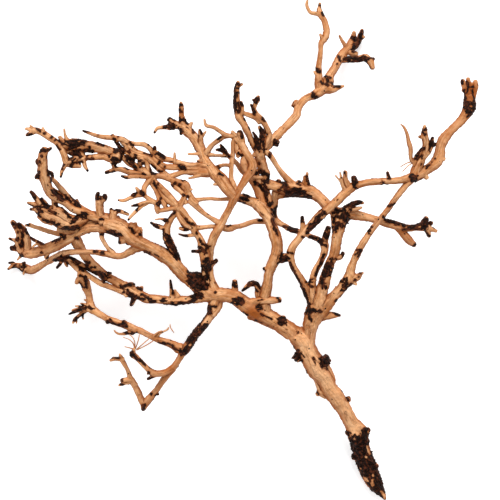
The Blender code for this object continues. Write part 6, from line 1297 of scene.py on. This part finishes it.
class BranchWood(bpy.types.PropertyGroup):
    """Sizes and colours of the wood"""

    fineness: bpy.props.FloatProperty(
        name="Skin fineness",
        description="Length of one face of the fused skin",
        default=1.02 * MM,
        min=0.5 * MM,
        max=3 * MM,
        precision=5,
        subtype="DISTANCE",
        unit="LENGTH",
    )
    bark_thickness: bpy.props.FloatProperty(
        name="Bark thickness",
        description="How far the bark remnants stand off the wood",
        default=0.7 * MM,
        min=0.0,
        max=2 * MM,
        precision=5,
        subtype="DISTANCE",
        unit="LENGTH",
    )
    groove_depth: bpy.props.FloatProperty(
        name="Groove depth",
        description="Depth of the fine grooves of the grain",
        default=0.9 * MM,
        min=0.0,
        max=3 * MM,
        precision=5,
        subtype="DISTANCE",
        unit="LENGTH",
    )
    wood_colour: bpy.props.FloatVectorProperty(
        name="Wood", description="Tan of the bare wood", default=linear(214, 146, 88),
        size=3, min=0, max=1, subtype="COLOR",
    )
    pale_colour: bpy.props.FloatVectorProperty(
        name="Pale wood", description="Streaks of bleached wood", default=linear(246, 191, 142),
        size=3, min=0, max=1, subtype="COLOR",
    )
    # At the sides of the limbs this brown is painted shade.
    brown_colour: bpy.props.FloatVectorProperty(
        name="Brown wood", description="Wood at the sides and round the bark", default=linear(160, 84, 31),
        size=3, min=0, max=1, subtype="COLOR",
    )
    bark_colour: bpy.props.FloatVectorProperty(
        name="Bark", description="Dark bark remnants", default=linear(18, 5, 1),
        size=3, min=0, max=1, subtype="COLOR",
    )
    # This colour also paints the shade on the undersides and in the hollows of the bare wood.
    worn_bark_and_shade_colour: bpy.props.FloatVectorProperty(
        name="Worn bark", description="Rubbed places of the bark", default=linear(98, 46, 22),
        size=3, min=0, max=1, subtype="COLOR",
    )


class BranchStage(bpy.types.PropertyGroup):
    """The floor, the light and the camera"""

    floor_colour: bpy.props.FloatVectorProperty(
        name="Floor", description="Colour of the pale floor", default=(0.9, 0.9, 0.9),
        size=3, min=0, max=1, subtype="COLOR",
    )
    floor_glow: bpy.props.FloatProperty(
        name="Floor glow", description="Light that the pale floor gives off, as a light table does",
        default=0.5, min=0.0,
    )
    light_power: bpy.props.FloatProperty(
        name="Light", description="Strength of the main light, which falls evenly",
        default=2.55, min=0.0,
    )
    sky_strength: bpy.props.FloatProperty(
        name="Sky", description="Strength of the even light from all round",
        default=0.5, min=0.0,
    )
    camera_height: bpy.props.FloatProperty(
        name="Camera height",
        description="Height of the camera above the floor",
        default=(EYE_DISTANCE + PICTURE_HEIGHT) * MM,
        min=0.5,
        subtype="DISTANCE",
        unit="LENGTH",
    )


class BRANCH_OT_lower_limbs(bpy.types.Operator):
    """Build the butt, the main limb, the hands at the left and the low left limbs"""

    bl_idname = "branch.lower_limbs"
    bl_label = "Lower Limbs"

    def execute(self, context):
        build_limbs(("butt_and_main_limb", "left_hands", "low_left_limbs"), context.scene.branch_wood)
        return {"FINISHED"}


class BRANCH_OT_upper_limbs(bpy.types.Operator):
    """Build the fan of twigs, the upper left limbs and the limbs in the middle"""

    bl_idname = "branch.upper_limbs"
    bl_label = "Upper Limbs"

    def execute(self, context):
        pieces = ("fan_of_twigs", "upper_left_bundle", "upper_left_limb", "middle_limbs")
        build_limbs(pieces, context.scene.branch_wood)
        return {"FINISHED"}


class BRANCH_OT_right_limbs(bpy.types.Operator):
    """Build the prongs, the broken and far limbs and the top right limb"""

    bl_idname = "branch.right_limbs"
    bl_label = "Right Limbs"

    def execute(self, context):
        build_limbs(("right_prongs", "far_right_limbs", "top_right_limb"), context.scene.branch_wood)
        return {"FINISHED"}


class BRANCH_OT_fibres(bpy.types.Operator):
    """Build the loose fibres that stand off the wood"""

    bl_idname = "branch.fibres"
    bl_label = "Loose Fibres"

    def execute(self, context):
        settings = context.scene.branch_wood
        shells, courses = [], []
        for rows in FIBRES:
            course = limb_course([(*row, 0.0) for row in rows])
            course["radii"] = np.linspace(*FIBRE_RADII, len(course["run"]))
            courses.append(course)
            shells.append(limb_shell(course, np.random.default_rng(FIBRE_SEED)))
        made = new_object("loose_fibres", *joined(shells))
        dress_skin(made, courses, 0.0, 0.0)
        hand_over(made, wood_material(settings))
        return {"FINISHED"}


class BRANCH_OT_stage(bpy.types.Operator):
    """Lay the pale floor and set the lights and the camera"""

    bl_idname = "branch.stage"
    bl_label = "Floor, Light and Camera"

    def execute(self, context):
        settings = context.scene.branch_stage
        build_floor(settings)
        build_light(context.scene, settings)
        build_camera(context.scene, settings)
        return {"FINISHED"}


def build_floor(settings):
    corners = np.array(((-1, -1, 0), (1, -1, 0), (1, 1, 0), (-1, 1, 0))) * FLOOR_HALF
    corners[:, 2] = -FLOOR_DROP
    floor = new_object("floor", corners, [[0, 1, 2, 3]])
    material = bpy.data.materials.new("pale floor")
    material.use_nodes = True
    shader = material.node_tree.nodes["Principled BSDF"]
    shader.inputs["Base Color"].default_value = (*settings.floor_colour, 1.0)
    shader.inputs["Roughness"].default_value = 1.0
    shader.inputs["Specular IOR Level"].default_value = 0.0
    shader.inputs["Emission Color"].default_value = (1.0, 1.0, 1.0, 1.0)
    shader.inputs["Emission Strength"].default_value = settings.floor_glow
    floor.data.materials.append(material)


def build_light(scene, settings):
    world = bpy.data.worlds.new("even light")
    scene.world = world
    world.use_nodes = True
    background = world.node_tree.nodes["Background"]
    background.inputs["Color"].default_value = (1.0, 1.0, 1.0, 1.0)
    background.inputs["Strength"].default_value = settings.sky_strength
    for name, place, power in LIGHTS:
        light = bpy.data.lights.new(name, "SUN")
        light.energy = settings.light_power * power
        light.angle = LIGHT_SPREAD
        lamp = bpy.data.objects.new(name, light)
        scene.collection.objects.link(lamp)
        lamp.location = place
        aim = np.array(LIGHT_AIM) - np.array(place)
        lamp.rotation_euler = (
            float(np.arctan2(np.hypot(aim[0], aim[1]), -aim[2])),
            0.0,
            float(np.arctan2(aim[1], aim[0]) - np.pi / 2),
        )


def build_camera(scene, settings):
    camera = bpy.data.cameras.new("camera")
    camera.sensor_width = 36.0
    eye_to_picture = settings.camera_height - PICTURE_HEIGHT * MM
    camera.lens = camera.sensor_width * eye_to_picture / (PICTURE_WIDTH * MM)
    holder = bpy.data.objects.new("camera", camera)
    scene.collection.objects.link(holder)
    holder.location = (SHIFT[0] * MM, SHIFT[1] * MM, settings.camera_height)
    scene.camera = holder
    scene.view_settings.view_transform = "Standard"


class BRANCH_PT_panel(bpy.types.Panel):
    """Lists the steps that build the branch"""

    bl_idname = "BRANCH_PT_panel"
    bl_label = "Tree Branch"
    bl_space_type = "VIEW_3D"
    bl_region_type = "UI"
    bl_category = "Branch"

    def draw(self, context):
        for name in context.scene.branch_wood.__annotations__:
            self.layout.prop(context.scene.branch_wood, name)
        for name in context.scene.branch_stage.__annotations__:
            self.layout.prop(context.scene.branch_stage, name)
        for step in STEPS:
            self.layout.operator(step.bl_idname)


STEPS = (
    BRANCH_OT_lower_limbs, BRANCH_OT_upper_limbs, BRANCH_OT_right_limbs, BRANCH_OT_fibres, BRANCH_OT_stage,
)
CLASSES = (BranchWood, BranchStage, *STEPS, BRANCH_PT_panel)


def register():
    for made in CLASSES:
        bpy.utils.register_class(made)
    bpy.types.Scene.branch_wood = bpy.props.PointerProperty(type=BranchWood)
    bpy.types.Scene.branch_stage = bpy.props.PointerProperty(type=BranchStage)


def unregister():
    del bpy.types.Scene.branch_stage
    del bpy.types.Scene.branch_wood
    for made in reversed(CLASSES):
        bpy.utils.unregister_class(made)


def main():
    register()
    bpy.ops.branch.lower_limbs()
    bpy.ops.branch.upper_limbs()
    bpy.ops.branch.right_limbs()
    bpy.ops.branch.fibres()
    bpy.ops.branch.stage()


if __name__ == "__main__":
    main()
